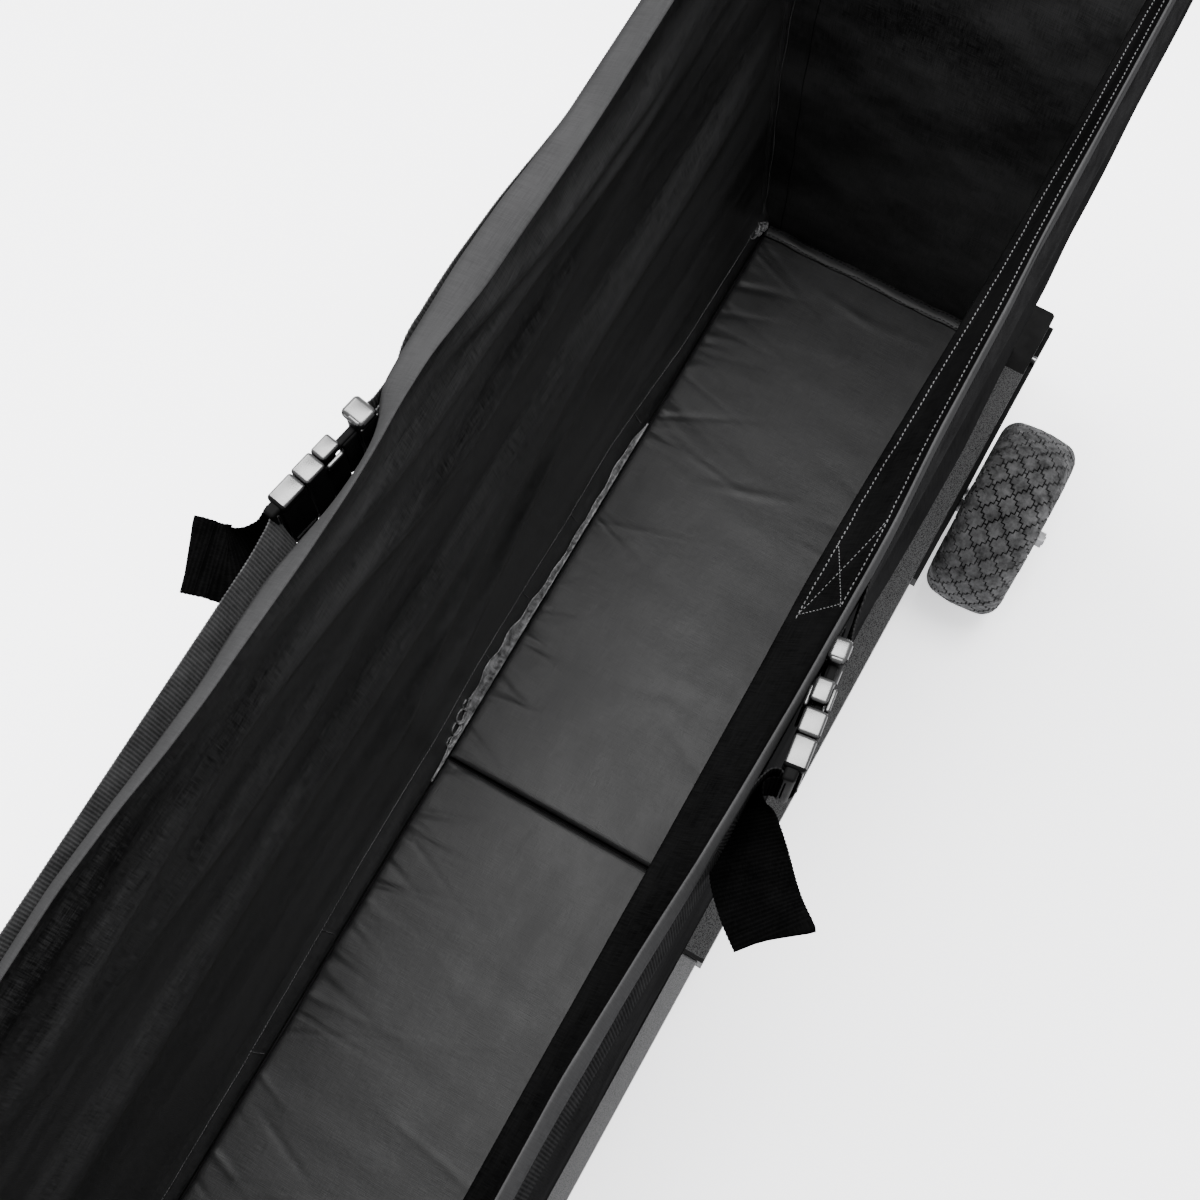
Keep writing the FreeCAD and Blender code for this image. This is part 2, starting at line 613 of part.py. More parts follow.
def female_half(word, side):
    """Sleeve that takes the tongue and arms, with side windows, and the bar for the webbing."""
    half = "buckle_wide / 2"
    shell = slab("FemaleShell" + word, "30", "buckle_len", half, "buckle_thick / 2")
    pocket = slab("FemalePocket" + word, "29", "74", half + " - 7", "3.8")
    side_cut = slab("FemaleSides" + word, "29", "47", half + " + 1", "5.3")
    slot = slab("FemaleSlot" + word, "80", "86", half + " - 6", "buckle_thick")
    whole = cut("BuckleFemale" + word, shell, join("FemaleCuts" + word, [pocket, side_cut, slot]))
    node(turned(whole, side, word), "buckle_female_" + word)


chassis_rails()
rail_bushes()
rail_ends()
crossbars()
clamp_knobs()
wheel_brackets()
axle_set()
wheels()
end_bolts()
casters()
tow_handle()
bag_shell()
rim_hem()
floor_panels()
straps()
tails()
for word, side in SIDES:
    male_half(word, side)
    female_half(word, side)

doc.recompute()

faults = ["%s: %s" % (thing.Name, thing.State) for thing in doc.Objects
          if "Invalid" in thing.State or "Error" in thing.State]
for piece in nodes:
    if piece.Shape.isNull() or not piece.Shape.isValid():
        faults.append(piece.Label + ": no valid shape")
if faults:
    raise RuntimeError("failed objects: " + "; ".join(faults))

os.makedirs("parts", exist_ok=True)
for piece in nodes:
    piece.Shape.exportStep("parts/%s.step" % piece.Label)
    print("%-22s %10.1f mm3  %d solid(s)" % (piece.Label, piece.Shape.Volume,
                                             len(piece.Shape.Solids)))
print(len(nodes), "nodes")
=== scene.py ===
"""The wheeled gear bag: soft bag, webbing, buckles, tyres and finishes on the CAD frame."""

import json
import math

import bpy
import bmesh
import numpy as np
from mathutils import Matrix, Vector


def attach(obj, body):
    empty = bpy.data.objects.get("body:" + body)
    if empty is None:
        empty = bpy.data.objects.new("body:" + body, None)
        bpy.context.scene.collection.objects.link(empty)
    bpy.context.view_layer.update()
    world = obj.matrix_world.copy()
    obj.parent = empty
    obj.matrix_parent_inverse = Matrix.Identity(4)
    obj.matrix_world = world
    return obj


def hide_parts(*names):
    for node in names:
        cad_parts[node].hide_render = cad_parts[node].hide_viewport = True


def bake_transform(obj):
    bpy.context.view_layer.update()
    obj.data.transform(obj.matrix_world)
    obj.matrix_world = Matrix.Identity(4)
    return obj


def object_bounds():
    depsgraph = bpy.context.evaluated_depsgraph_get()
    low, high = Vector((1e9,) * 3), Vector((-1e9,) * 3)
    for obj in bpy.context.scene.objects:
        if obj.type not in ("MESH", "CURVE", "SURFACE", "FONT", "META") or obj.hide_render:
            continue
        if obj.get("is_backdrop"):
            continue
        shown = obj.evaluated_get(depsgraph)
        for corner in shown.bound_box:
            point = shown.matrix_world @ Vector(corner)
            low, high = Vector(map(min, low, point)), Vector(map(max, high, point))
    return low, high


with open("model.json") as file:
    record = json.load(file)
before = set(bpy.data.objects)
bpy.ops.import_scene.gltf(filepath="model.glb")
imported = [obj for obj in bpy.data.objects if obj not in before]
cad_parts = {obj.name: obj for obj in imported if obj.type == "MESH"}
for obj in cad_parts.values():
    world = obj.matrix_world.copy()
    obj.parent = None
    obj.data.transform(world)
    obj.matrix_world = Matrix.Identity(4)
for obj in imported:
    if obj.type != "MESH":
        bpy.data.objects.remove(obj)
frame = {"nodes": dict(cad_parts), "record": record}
size_of_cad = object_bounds()

MM = 0.001
SIDES = (("left", 1), ("right", -1))


# ---- node materials ----

def new_material(name):
    material = bpy.data.materials.new(name)
    material.use_nodes = True
    return material, material.node_tree


def add(tree, kind, inputs=None, **settings):
    """A shader node. Inputs are sockets to link from, or plain values."""
    made = tree.nodes.new("ShaderNode" + kind)
    for key, value in settings.items():
        setattr(made, key, value)
    for key, value in (inputs or {}).items():
        if isinstance(value, bpy.types.NodeSocket):
            tree.links.new(value, made.inputs[key])
        else:
            made.inputs[key].default_value = value
    return made


def spot(tree, source="Object", scale=(1, 1, 1)):
    """Coordinates in metres, times scale."""
    coords = add(tree, "TexCoord")
    return add(tree, "Mapping", {"Vector": coords.outputs[source], "Scale": scale}).outputs[0]


def noise(tree, vector, scale, detail=3.0, rough=0.55):
    return add(tree, "TexNoise", {"Vector": vector, "Scale": scale, "Detail": detail,
                                  "Roughness": rough}).outputs["Fac"]


def ramp(tree, factor, stops):
    made = add(tree, "ValToRGB", {"Fac": factor})
    line = made.color_ramp
    while len(line.elements) < len(stops):
        line.elements.new(0.5)
    for element, (place, value) in zip(line.elements, stops):
        element.position = place
        element.color = (value, value, value * 1.02, 1)
    return made.outputs["Color"]


def sums(tree, first, second, weight=1.0):
    """first * weight + second."""
    return add(tree, "Math", {0: first, 1: weight, 2: second},
               operation="MULTIPLY_ADD").outputs[0]


def bump(tree, height, distance, strength=1.0, normal=None):
    inputs = {"Height": height, "Distance": distance, "Strength": strength}
    if normal is not None:
        inputs["Normal"] = normal
    return add(tree, "Bump", inputs).outputs["Normal"]


def finish_material(tree, color, rough, normal=None, gloss=0.5, **extra):
    """Links or sets the shader's inputs. gloss is its specular level."""
    shader = tree.nodes["Principled BSDF"]
    inputs = {"Base Color": color, "Roughness": rough, "Specular IOR Level": gloss, **extra}
    for key, value in inputs.items():
        if isinstance(value, bpy.types.NodeSocket):
            tree.links.new(value, shader.inputs[key])
        else:
            shader.inputs[key].default_value = value
    if normal is not None:
        tree.links.new(normal, shader.inputs["Normal"])


def fabric(name, dark, light, rough, gloss=0.0, thread=1300, crumple=0.0, patch=(9, 9, 9)):
    """Woven cloth: streaky threads both ways, soft mottling and, if asked, small crumples."""
    material, tree = new_material(name)
    warp = noise(tree, spot(tree, "UV", (thread, thread * 0.04, 1)), 1.0, 2)
    weft = noise(tree, spot(tree, "UV", (thread * 0.04, thread, 1)), 1.0, 2)
    weave = sums(tree, warp, weft)
    mottle = noise(tree, spot(tree, "Object", patch), 1.0, 5, 0.6)
    mixed = sums(tree, mottle, weave, 1.6)
    color = ramp(tree, sums(tree, mixed, -0.72, 0.75), [(0.34, dark), (0.86, light)])
    normal = bump(tree, weave, 0.00025, 0.5)
    if crumple:
        folds = noise(tree, spot(tree), 38, 4, 0.55)
        normal = bump(tree, folds, crumple, 0.6, normal)
    worn = ramp(tree, mottle, [(0.3, rough - 0.06), (0.7, rough + 0.06)])
    finish_material(tree, color, worn, normal, gloss)
    return material


def webbing_cloth(name, dark, light, rib_shade=0.34):
    """Ribbed webbing. The ribs' shape is modelled; the yarn and wear are here, with a colour wave
    along the ribs that is painted shade.
    """
    material, tree = new_material(name)
    yarn = noise(tree, spot(tree, "UV", (260, 1500, 1)), 1.0, 3)
    worn = noise(tree, spot(tree), 60, 4)
    # the wave darkens the webbing between the ribs: painted shade
    rib = add(tree, "TexWave", {"Vector": spot(tree, "UV"), "Scale": 0.1 * math.pi / RIB / MM,
                                "Phase Offset": math.pi}, bands_direction="X").outputs["Fac"]
    tone = sums(tree, rib, sums(tree, worn, yarn, 0.8), rib_shade)
    color = ramp(tree, sums(tree, tone, -0.25, 0.8), [(0.40, dark), (1.0, light)])
    finish_material(tree, color, 0.6, bump(tree, yarn, 0.0004, 0.6), 0.0)
    return material


def hammered(name, dark, light, cell, depth, rough=0.45, metal=0.2):
    """Hammertone paint: pebbled, with bright specks."""
    material, tree = new_material(name)
    place = spot(tree)
    pebbles = add(tree, "TexVoronoi", {"Vector": place, "Scale": cell},
                  feature="SMOOTH_F1").outputs["Distance"]
    grain = noise(tree, place, cell * 1.6, 3)
    speck = sums(tree, grain, pebbles, 0.9)
    color = ramp(tree, speck, [(0.35, dark), (0.70, dark * 1.6), (0.84, light)])
    normal = bump(tree, speck, depth, 0.7)
    shine = ramp(tree, grain, [(0.35, rough - 0.12), (0.65, rough + 0.12)])
    finish_material(tree, color, shine, normal, 0.12, Metallic=metal)
    return material


def moulded(name, dark, light, rough, gloss=0.3):
    """Moulded plastic with a fine grain and slight wear."""
    material, tree = new_material(name)
    place = spot(tree)
    fine = noise(tree, place, 900, 2)
    worn = noise(tree, place, 45, 4)
    color = ramp(tree, worn, [(0.3, dark), (0.75, light)])
    shine = ramp(tree, sums(tree, fine, worn, 0.4), [(0.4, rough - 0.05), (1.0, rough + 0.1)])
    finish_material(tree, color, shine, bump(tree, fine, 0.00006, 0.5), gloss)
    return material


def steel(name, dark, light):
    """Brushed zinc plate with faint stains."""
    material, tree = new_material(name)
    brushed = noise(tree, spot(tree, "Object", (900, 40, 900)), 1.0, 3)
    stain = noise(tree, spot(tree), 120, 4)
    color = ramp(tree, stain, [(0.3, dark), (0.7, light)])
    shine = ramp(tree, brushed, [(0.3, 0.28), (0.7, 0.28 + 0.16)])
    finish_material(tree, color, shine, bump(tree, brushed, 0.00008, 0.4), Metallic=1.0)
    return material


def rubber(name, dark, light, rough=0.62):
    """Tyre rubber: dusty high spots and a fine moulded grain."""
    material, tree = new_material(name)
    place = spot(tree)
    fine = noise(tree, place, 700, 3)
    dust = noise(tree, place, 90, 5, 0.65)
    color = ramp(tree, dust, [(0.32, dark), (0.68, light)])
    shine = ramp(tree, fine, [(0.3, rough - 0.1), (0.7, rough + 0.12)])
    finish_material(tree, color, shine, bump(tree, fine, 0.00012, 0.6), 0.03)
    return material


RIB = 2.6  # the webbing's rib pitch in millimetres

CLOTH_OUT = fabric("outer_cloth", 0.005, 0.011, 0.62)
# the lining's stretched light streaks of mottling are painted sheen; its weave and finer mottling
# are its own
CLOTH_IN = fabric("lining_cloth", 0.003, 0.042, 0.40, 0.36, patch=(2.6, 9, 15))
# a near-black copy of the lining for the right rim's facing: painted shade
BAND_SHADE_CLOTH = fabric("band_painted_shade", 0.0008, 0.0030, 0.6)
CLOTH_HEM = fabric("hem_cloth", 0.018, 0.026, 0.62)
# a lighter copy of the hem cloth for the right hem: painted light
HEM_PAINTED_LIGHT = fabric("hem_cloth_painted_light", 0.024, 0.036, 0.62)
CLOTH_FLOOR = fabric("floor_cloth", 0.0055, 0.0155, 0.46, 0.17, crumple=0.0008, patch=(7, 16, 9))
CLOTH_TRIM = fabric("trim_cloth", 0.015, 0.24, 0.45, 0.3, crumple=0.002, patch=(90, 160, 90))
WEB = webbing_cloth("webbing", 0.018, 0.062)
# a darker copy of the webbing for the right side's straps: painted shade
WEB_SHADE = webbing_cloth("webbing_right_painted_shade", 0.006, 0.022)
# a near-black copy of the webbing for the tails: painted shade
WEB_TAIL_SHADE = webbing_cloth("webbing_tail_painted_shade", 0.0006, 0.0026, 0.2)
THREAD = fabric("thread", 0.035, 0.10, 0.55, thread=4000)
THREAD_DARK = fabric("dark_thread", 0.003, 0.008, 0.5, thread=4000)
# the lighter, glossier buckle plastic is a painted highlight on faces turned up or down; the
# near-black one is painted shade
BUCKLE = moulded("buckle_plastic", 0.010, 0.020, 0.26, 0.80)
BUCKLE_DARK = moulded("buckle_painted_shade", 0.002, 0.005, 0.6, 0.02)
PAINT = hammered("frame_paint", 0.003, 0.056, 900, 0.0005)
PAINT_IN = hammered("inner_paint", 0.045, 0.16, 1400, 0.0003, 0.5, 0.1)
SMOOTH = moulded("smooth_black", 0.002, 0.005, 0.4, 0.05)
ZINC = steel("zinc", 0.11, 0.24)
TYRE = rubber("tyre_rubber", 0.018, 0.095)
# darker rubber for the casing between the tread blocks: painted shade in the grooves
TYRE_GROOVE_SHADE = rubber("tyre_grooves_painted_shade", 0.003, 0.011, 0.8)
FOAM = rubber("grip_foam", 0.010, 0.020, 0.8)
HUB = moulded("hub_plastic", 0.008, 0.016, 0.5, 0.1)


# ---- mesh helpers ----

def linked(name, data):
    made = bpy.data.objects.new(name, data)
    bpy.context.scene.collection.objects.link(made)
    return made


def mesh_object(name, points, faces, material, uv=None, smooth=True):
    """A mesh from points in millimetres. uv gives one pair in metres for each point."""
    mesh = bpy.data.meshes.new(name)
    mesh.from_pydata((np.asarray(points) * MM).tolist(), [], faces)
    mesh.materials.append(material)
    if uv is not None:
        layer = mesh.uv_layers.new(name="UVMap")
        corners = np.empty(len(mesh.loops), int)
        mesh.loops.foreach_get("vertex_index", corners)
        layer.data.foreach_set("uv", np.asarray(uv, float)[corners].ravel())
    mesh.polygons.foreach_set("use_smooth", [smooth] * len(mesh.polygons))
    mesh.update()
    return linked(name, mesh)


def thickened(made, thick, offset=-1):
    """Cloth of a thickness in millimetres. An offset of 0 adds it on both sides."""
    solid = made.modifiers.new("cloth", "SOLIDIFY")
    solid.thickness = thick * MM
    solid.offset = offset
    return made


def grid_faces(rows, columns, wrap=False, closed=False):
    """Quads over a grid of points. wrap joins the last column to the first, closed the rows."""
    faces = []
    for i in range(rows if closed else rows - 1):
        for j in range(columns if wrap else columns - 1):
            here, beyond = i * columns, (i + 1) % rows * columns
            k = (j + 1) % columns
            faces.append((here + j, here + k, beyond + k, beyond + j))
    return faces


def tube_faces(count, size):
    """Faces round closed rings of points, with both ends filled."""
    last = (count - 1) * size
    return grid_faces(count, size, wrap=True) \
        + [tuple(reversed(range(size))), tuple(range(last, last + size))]


def shifted(faces, base):
    return [tuple(base + k for k in face) for face in faces]


def loft(name, rings, material, uv=None):
    """Closed rings joined one to the next, with both ends filled."""
    rings = np.asarray(rings, float)
    return mesh_object(name, rings.reshape(-1, 3), tube_faces(*rings.shape[:2]), material, uv)


def unit(vectors):
    vectors = np.asarray(vectors, float)
    return vectors / np.maximum(np.linalg.norm(vectors, axis=-1, keepdims=True), 1e-9)


def distances(points):
    """How far along a line of points each of them lies."""
    return np.concatenate([[0], np.cumsum(np.linalg.norm(np.diff(points, axis=0), axis=1))])


def resample(points, step):
    """Points along a smooth curve through the given ones, at an even step."""
    points = np.asarray(points, float)
    if len(points) > 2:
        dense = []
        ends = np.vstack([2 * points[0] - points[1], points, 2 * points[-1] - points[-2]])
        for k in range(1, len(ends) - 2):
            a, b, c, d = ends[k - 1:k + 3]
            for w in np.linspace(0, 1, 24, endpoint=False):
                dense.append(0.5 * (2 * b + (c - a) * w + (2 * a - 5 * b + 4 * c - d) * w ** 2
                                    + (3 * b - a - 3 * c + d) * w ** 3))
        dense.append(points[-1])
        points = np.asarray(dense)
    run = distances(points[:, :3])
    places = np.linspace(0, run[-1], max(2, int(round(run[-1] / step)) + 1))
    return np.stack([np.interp(places, run, points[:, k]) for k in range(points.shape[1])],
                    axis=1), places


def webbing(name, knots, width=50.0, thick=1.9, step=0.65, material=WEB):
    """Ribbed webbing along knots, each (x, y, z, width direction x, y, z)."""
    line, run = resample(knots, step)
    centre, across = line[:, :3], unit(line[:, 3:6])
    along = unit(np.gradient(centre, axis=0))
    across = unit(across - (across * along).sum(1, keepdims=True) * along)
    face = np.cross(along, across)
    shares = np.array([-1, -0.97, -0.8, -0.5, -0.17, 0.17, 0.5, 0.8, 0.97, 1.0])
    shares = np.concatenate([shares, shares[::-1]])
    lifts = np.where(np.abs(shares) > 0.96, 0.45, 1.0) * np.repeat([1, -1], 10)
    ribs = 0.5 + 0.5 * np.cos(2 * math.pi * run / RIB)
    rib_depth, rib_overhang = 0.6, 0.35
    rings, uv = [], []
    for k in range(len(run)):
        half = thick / 2 + rib_depth * (ribs[k] - 0.5)
        wide = width / 2 + rib_overhang * ribs[k]
        rings.append(centre[k] + np.outer(shares * wide, across[k])
                     + np.outer(lifts * half, face[k]))
        uv += [(run[k] * MM, s * MM) for s in shares * wide]
    return loft(name, rings, material, uv)


def table(*pairs):
    """A smooth function of one value through (value, result) pairs."""
    pairs = sorted(pairs)
    places, values = np.array(pairs, float).T

    def look(x):
        x = np.asarray(x, float)
        shifts = (-9.0, -4.5, 0, 4.5, 9.0)
        return sum(np.interp(x + shift, places, values) for shift in shifts) / len(shifts)
    return look


def ripple(x, y, seed, scale, count=5):
    """Smooth seeded waviness, about -1 to 1."""
    source = np.random.default_rng(seed)
    total = 0
    for _ in range(count):
        angle = source.uniform(0, 2 * math.pi)
        length = scale * source.uniform(0.6, 1.6)
        total = total + np.sin((x * math.cos(angle) + y * math.sin(angle)) * 2 * math.pi
                               / length + source.uniform(0, 2 * math.pi))
    return total / count


def stitch_run(name, path, normals, pitch, length, radius, slant=0.0, material=THREAD,
               body="chassis"):
    """A row of separate thread stitches lying on a surface path."""
    line, _ = resample(np.hstack([path, normals]), pitch)
    centre, up = line[:, :3], unit(line[:, 3:6])
    along = unit(np.gradient(centre, axis=0))
    side = unit(np.cross(up, along))
    along = unit(along + slant * side)
    side = unit(np.cross(up, along))
    hexagon = [(math.cos(k * math.pi / 3), math.sin(k * math.pi / 3)) for k in range(6)]
    stitch = ((-0.5, 0.35, -0.2), (-0.3, 1.0, 0.35), (0.3, 1.0, 0.35), (0.5, 0.35, -0.2))
    stitch_faces = tube_faces(len(stitch), len(hexagon))
    points, faces = [], []
    for k in range(len(centre)):
        faces += shifted(stitch_faces, len(points))
        for share, fat, lift in stitch:
            heart = centre[k] + along[k] * share * length + up[k] * lift * radius
            for a, b in hexagon:
                points.append(heart + side[k] * a * radius * fat + up[k] * b * radius * fat)
    made = mesh_object(name, points, faces, material, [(p[0] * MM, p[1] * MM) for p in points])
    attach(made, body)


# ---- the bag's measured lines ----

HALF = 657.0  # half the bag's inner length
FLOOR = 176.5  # top of the floor panels
RIM = 903.5
HEM_WIDE = 24.0
COLUMNS = 301  # places along a side wall
LINING_ROWS = 190

# distances from the middle, along x: the rim's top and lean, the facing's foot, the outer
# cloth's widest and the webbing's foot on the right; the rim's top and base on the left
rim_right = table(
    (657, 148.5), (359, 150.7), (309, 152.5), (206, 153.7), (140, 156.7), (107, 156.9),
    (13, 156.2), (-48, 155), (-107, 153), (-164, 150), (-220, 148), (-253, 147), (-657, 150))
rim_right_wide = table(
    (657, 3.4), (300, 3.6), (100, 4.4), (13, 5), (-107, 6.5), (-164, 7.7), (-253, 9.3), (-657, 9))
band_right = table(
    (657, 129.0), (385, 127.8), (311, 126.2), (238, 124.0), (168, 121.9), (100, 120.7),
    (33, 121.7), (-31, 122.0), (-94, 122.4), (-155, 122.4), (-244, 122.5), (-657, 125))
out_right = table(
    (657, 158), (371, 163.1), (332, 166), (257, 168), (185, 167.2), (114, 163), (50, 160),
    (-21, 158.3), (-86, 158.2), (-150, 159.2), (-211, 161.3), (-241, 163.0), (-657, 160))
web_right = table(
    (657, 157), (309, 161.1), (166, 160.7), (98, 160), (30, 159.6), (-95, 160.7), (-155, 158.7),
    (-215, 156.8), (-657, 158))
rim_left = table(
    (657, 143), (310, 139), (259, 139), (205, 140.4), (155, 141.5), (110, 146), (95, 147.5),
    (56, 147), (23, 145), (-8, 144), (-65, 144.6), (-125, 147), (-161, 148.2), (-202, 151.2),
    (-242, 156), (-300, 160), (-657, 158))
base_left = table(
    (657, 158), (289, 158), (212, 164.4), (157, 166), (89, 164), (63, 162), (50, 153), (30, 146.5),
    (11, 145.5), (-13, 147), (-46, 152), (-77, 156.5), (-113, 157), (-155, 155.6), (-219, 159.5),
    (-248, 161.8), (-300, 165), (-657, 162))


def hem_line(word, x):
    """(top Y, top Z, base Y, base Z) of the rim hem, Y as a distance from the middle."""
    x = np.asarray(x, float)
    if word == "right":
        lean = np.maximum(rim_right_wide(x) - 3.0, 0.3)
        top = rim_right(x) - lean / 2
        drop = np.sqrt(HEM_WIDE ** 2 - lean ** 2)
        return top, np.full_like(x, RIM), top + lean, RIM - drop
    top = rim_left(x)
    lean = base_left(x) - top
    drop = np.full_like(x, 10.0)
    outward = 0.32
    for _ in range(30):
        drop = np.sqrt(np.maximum(HEM_WIDE ** 2 - (lean + outward * drop) ** 2, 9.0)) * 0.5 \
            + drop * 0.5
    return top, np.full_like(x, RIM), top + lean + outward * drop, RIM - drop


def line_height(x, knots):
    """Height of a fold line at x, and a fade to nothing beyond its ends."""
    xs, zs = zip(*sorted(knots))
    soft = 34
    fade = 1 / (1 + np.exp(-(x - xs[0]) / soft)) / (1 + np.exp((x - xs[-1]) / soft))
    return sum(np.interp(x + shift, xs, zs) for shift in (-40, -20, 0, 20, 40)) / 5, fade


# each fold of the left lining: how far it stands in, its width, and its line's (x, z) knots
LEFT_FOLDS = (
    (9.625, 38, [(600, 520), (472, 527), (348, 534), (249, 536), (131, 530), (48, 527),
     (-35, 534), (-191, 536), (-373, 527), (-640, 520)]),
    (-5.25, 46, [(620, 622), (433, 608), (326, 606), (158, 590), (68, 600), (-193, 580),
     (-400, 580)]),
    (10.5, 17, [(420, 775), (353, 793), (237, 812), (167, 839), (102, 864), (65, 874)]),
    (8.75, 22, [(430, 742), (349, 755), (276, 772), (209, 788), (134, 796), (84, 802), (35, 812),
     (-10, 832), (-53, 850), (-110, 858)]),
    (7.875, 24, [(300, 700), (190, 690), (134, 684), (95, 686), (40, 710), (-1, 735), (-60, 760),
     (-180, 790), (-300, 780), (-420, 750)]),
    (7.0, 28, [(-60, 640), (-158, 659), (-229, 676), (-277, 700), (-380, 720)]),
    (7.0, 24, [(260, 500), (143, 478), (81, 450), (20, 400), (-60, 350)]),
    (5.25, 24, [(330, 452), (230, 430), (171, 388), (95, 340), (20, 300)]),
    (4.375, 34, [(7, 330), (-49, 400), (-123, 412), (-300, 400)]),
)


def left_relief(x, z):
    """How far the left lining's folds stand in from its plain surface."""
    total = 1.5 * ripple(x, z * 2.2, 3, 420)
    for height, width, knots in LEFT_FOLDS:
        place, fade = line_height(x, knots)
        total = total + height * fade * np.exp(-((z - place) / width) ** 2)
    return np.clip(total, -2.0, 13.0)


def lining_profile(word, x):
    """Knots (Z, |Y|) of the lining from the rim down, each one value or one for each x."""
    top_y, top_z, base_y, base_z = hem_line(word, x)
    if word == "right":
        band = band_right(x)
        return [(top_z - 1.5, top_y - 0.6), (base_z + 3, base_y - 4.6), (846.5, band + 9),
                (841, band + 2.6), (837, band + 0.2), (833, band + 2.0), (830.5, band + 11),
                (828, 143.5), (820, 146), (780, 147), (650, 148.0), (450, 147.3), (300, 146.2),
                (215, 144.8), (188, 144), (FLOOR, 143.2), (168, 142.6)]
    return [(top_z - 1.5, top_y + 0.4), (base_z + 2, base_y - 3.4), (base_z - 14, base_y - 3.0),
            (840, 158.5), (780, 159), (650, 159), (450, 158), (300, 156.5), (228, 155),
            (205, 151.6), (188, 147.5), (FLOOR, 144.6), (168, 143.6)]


def outer_profile(word, x):
    """The same for the bag's outer face, down to the base board."""
    top_y, top_z, base_y, base_z = hem_line(word, x)
    if word == "right":
        most = out_right(x)
        web = web_right(x) - 3.0
        return [(top_z - 1.5, top_y + 0.8), (base_z + 1, base_y + 0.4), (834, web),
                (815, (web + most) / 2 - 0.5), (780, most - 0.8), (650, most - 5),
                (520, 0.7 * (most - 9) + 0.3 * 154), (380, 0.3 * (most - 13) + 0.7 * 151),
                (300, 149.3), (240, 147.6), (190, 146.2), (152.4, 144.8)]
    return [(top_z - 1.5, top_y + 1.8), (base_z + 1, base_y - 0.4), (834, 162.3), (780, 165),
            (650, 167), (480, 166.5), (340, 164), (240, 161), (190, 157), (152.4, 153)]


def rows_from(profile, word, x, count):
    """Evenly spread rows of Z and |Y| down a profile, and how far down each row lies."""
    heights, offsets = (np.array([np.broadcast_to(value, x.shape) for value in values], float)
                        for values in zip(*profile(word, x)))
    steps = np.hypot(np.diff(heights, axis=0), np.diff(offsets, axis=0)).mean(axis=1)
    run = np.concatenate([[0], np.cumsum(steps)])
    places = np.linspace(0, run[-1], count)
    out = []
    for grid in (heights, offsets):
        fine = np.stack([np.interp(places, run, grid[:, k]) for k in range(grid.shape[1])], 1)
        for _ in range(2):
            fine[1:-1] = 0.25 * fine[:-2] + 0.5 * fine[1:-1] + 0.25 * fine[2:]
        out.append(fine)
    return out[0], out[1], places


def shell(name, profile, count, relief, end_x, material, thick):
    """A cloth shell lofted round the bag's four walls, from the rim down."""
    along = np.linspace(-1, 1, COLUMNS)
    cross = np.linspace(-1, 1, 61)
    corner_reach = 40
    sides = {}
    for word, _ in SIDES:
        z, y, run = rows_from(profile, word, along * HALF, count)
        sides[word] = (z, y)
    corner_z = {end: (sides["left"][0][:, end] + sides["right"][0][:, end]) / 2
                for end in (0, -1)}

    def side_columns(word, side, shares):
        z, y = sides[word]
        for share in shares:
            k = int(round((share + 1) / 2 * (COLUMNS - 1)))
            w = np.clip((1 - np.abs(share)) * HALF / corner_reach, 0, 1)
            height = z[:, k] * w + corner_z[0 if share < 0 else -1] * (1 - w)
            inward = relief(word, share * end_x(height), height) * w
            yield np.stack([share * end_x(height), side * (y[:, k] - inward), height], 1)

    def end_columns(sign, shares):
        end = 0 if sign < 0 else -1
        height = corner_z[end]
        left, right = (sides[word][1][:, end] for word in ("left", "right"))
        for share in shares:
            y = (share + 1) / 2 * left - (1 - share) / 2 * right
            inward = relief("end", share * 150 + sign * 900, height) * (1 - share ** 8)
            yield np.stack([sign * (end_x(height) - inward), y, height], 1)

    columns = [*side_columns("right", -1, along[:-1]), *end_columns(1, cross[:-1]),
               *side_columns("left", 1, along[:0:-1]), *end_columns(-1, cross[:0:-1])]
    grid = np.array(columns).transpose(1, 0, 2)
    around = distances(grid[count // 2])
    uv = [(a * MM, -down * MM) for down in run for a in around]
    made = mesh_object(name, grid.reshape(-1, 3), grid_faces(count, len(columns), wrap=True),
                       material, uv)
    return thickened(made, thick, offset=0)


def inner_relief(kind, x, z):
    """How far a wall of the lining stands in: kind is left, right or end."""
    if kind == "left":
        fade = np.clip((870 - z) / 40, 0, 1) * np.clip((z - 215) / 60, 0, 1)
        return left_relief(x, z) * fade
    if kind == "right":
        fade = np.clip((790 - z) / 60, 0, 1) * np.clip((z - 215) / 60, 0, 1)
        return (0.8 + 1.4 * ripple(x, z, 9, 240)) * fade
    fade = np.clip((z - 190) / 80, 0, 1) * np.clip((880 - z) / 60, 0, 1)
    return (3.0 * ripple(x, z, 11, 260) + 1.2 * ripple(x, z, 12, 90)) * fade


def outer_relief(_, x, z):
    """The same gentle waves on every wall."""
    fade = np.clip((830 - z) / 60, 0, 1) * np.clip((z - 155) / 60, 0, 1)
    return np.clip(1.6 * ripple(x, z, 21, 300) + 0.6 * ripple(x, z, 22, 120), -0.8, 0.6) * fade


def lining_end(z):
    return HALF + 1.2 + 7.5 * np.clip(1 - (z - FLOOR) / 260, 0, 1)


def outer_end(z):
    return HALF + 12.6 + 2.0 * np.sin(np.clip((z - 152) / 750, 0, 1) * math.pi)


def shade_band(piece):
    """The facing under the right rim gets a near-black copy of the lining cloth: painted shade
    under the rim.
    """
    lowest, corner = 0.833, 0.004
    mesh = piece.data
    mesh.materials.append(BAND_SHADE_CLOTH)
    for face in mesh.polygons:
        middle = face.center
        if middle.y < 0 and middle.z > lowest and abs(middle.x) < HALF * MM - corner:
            face.material_index = 1


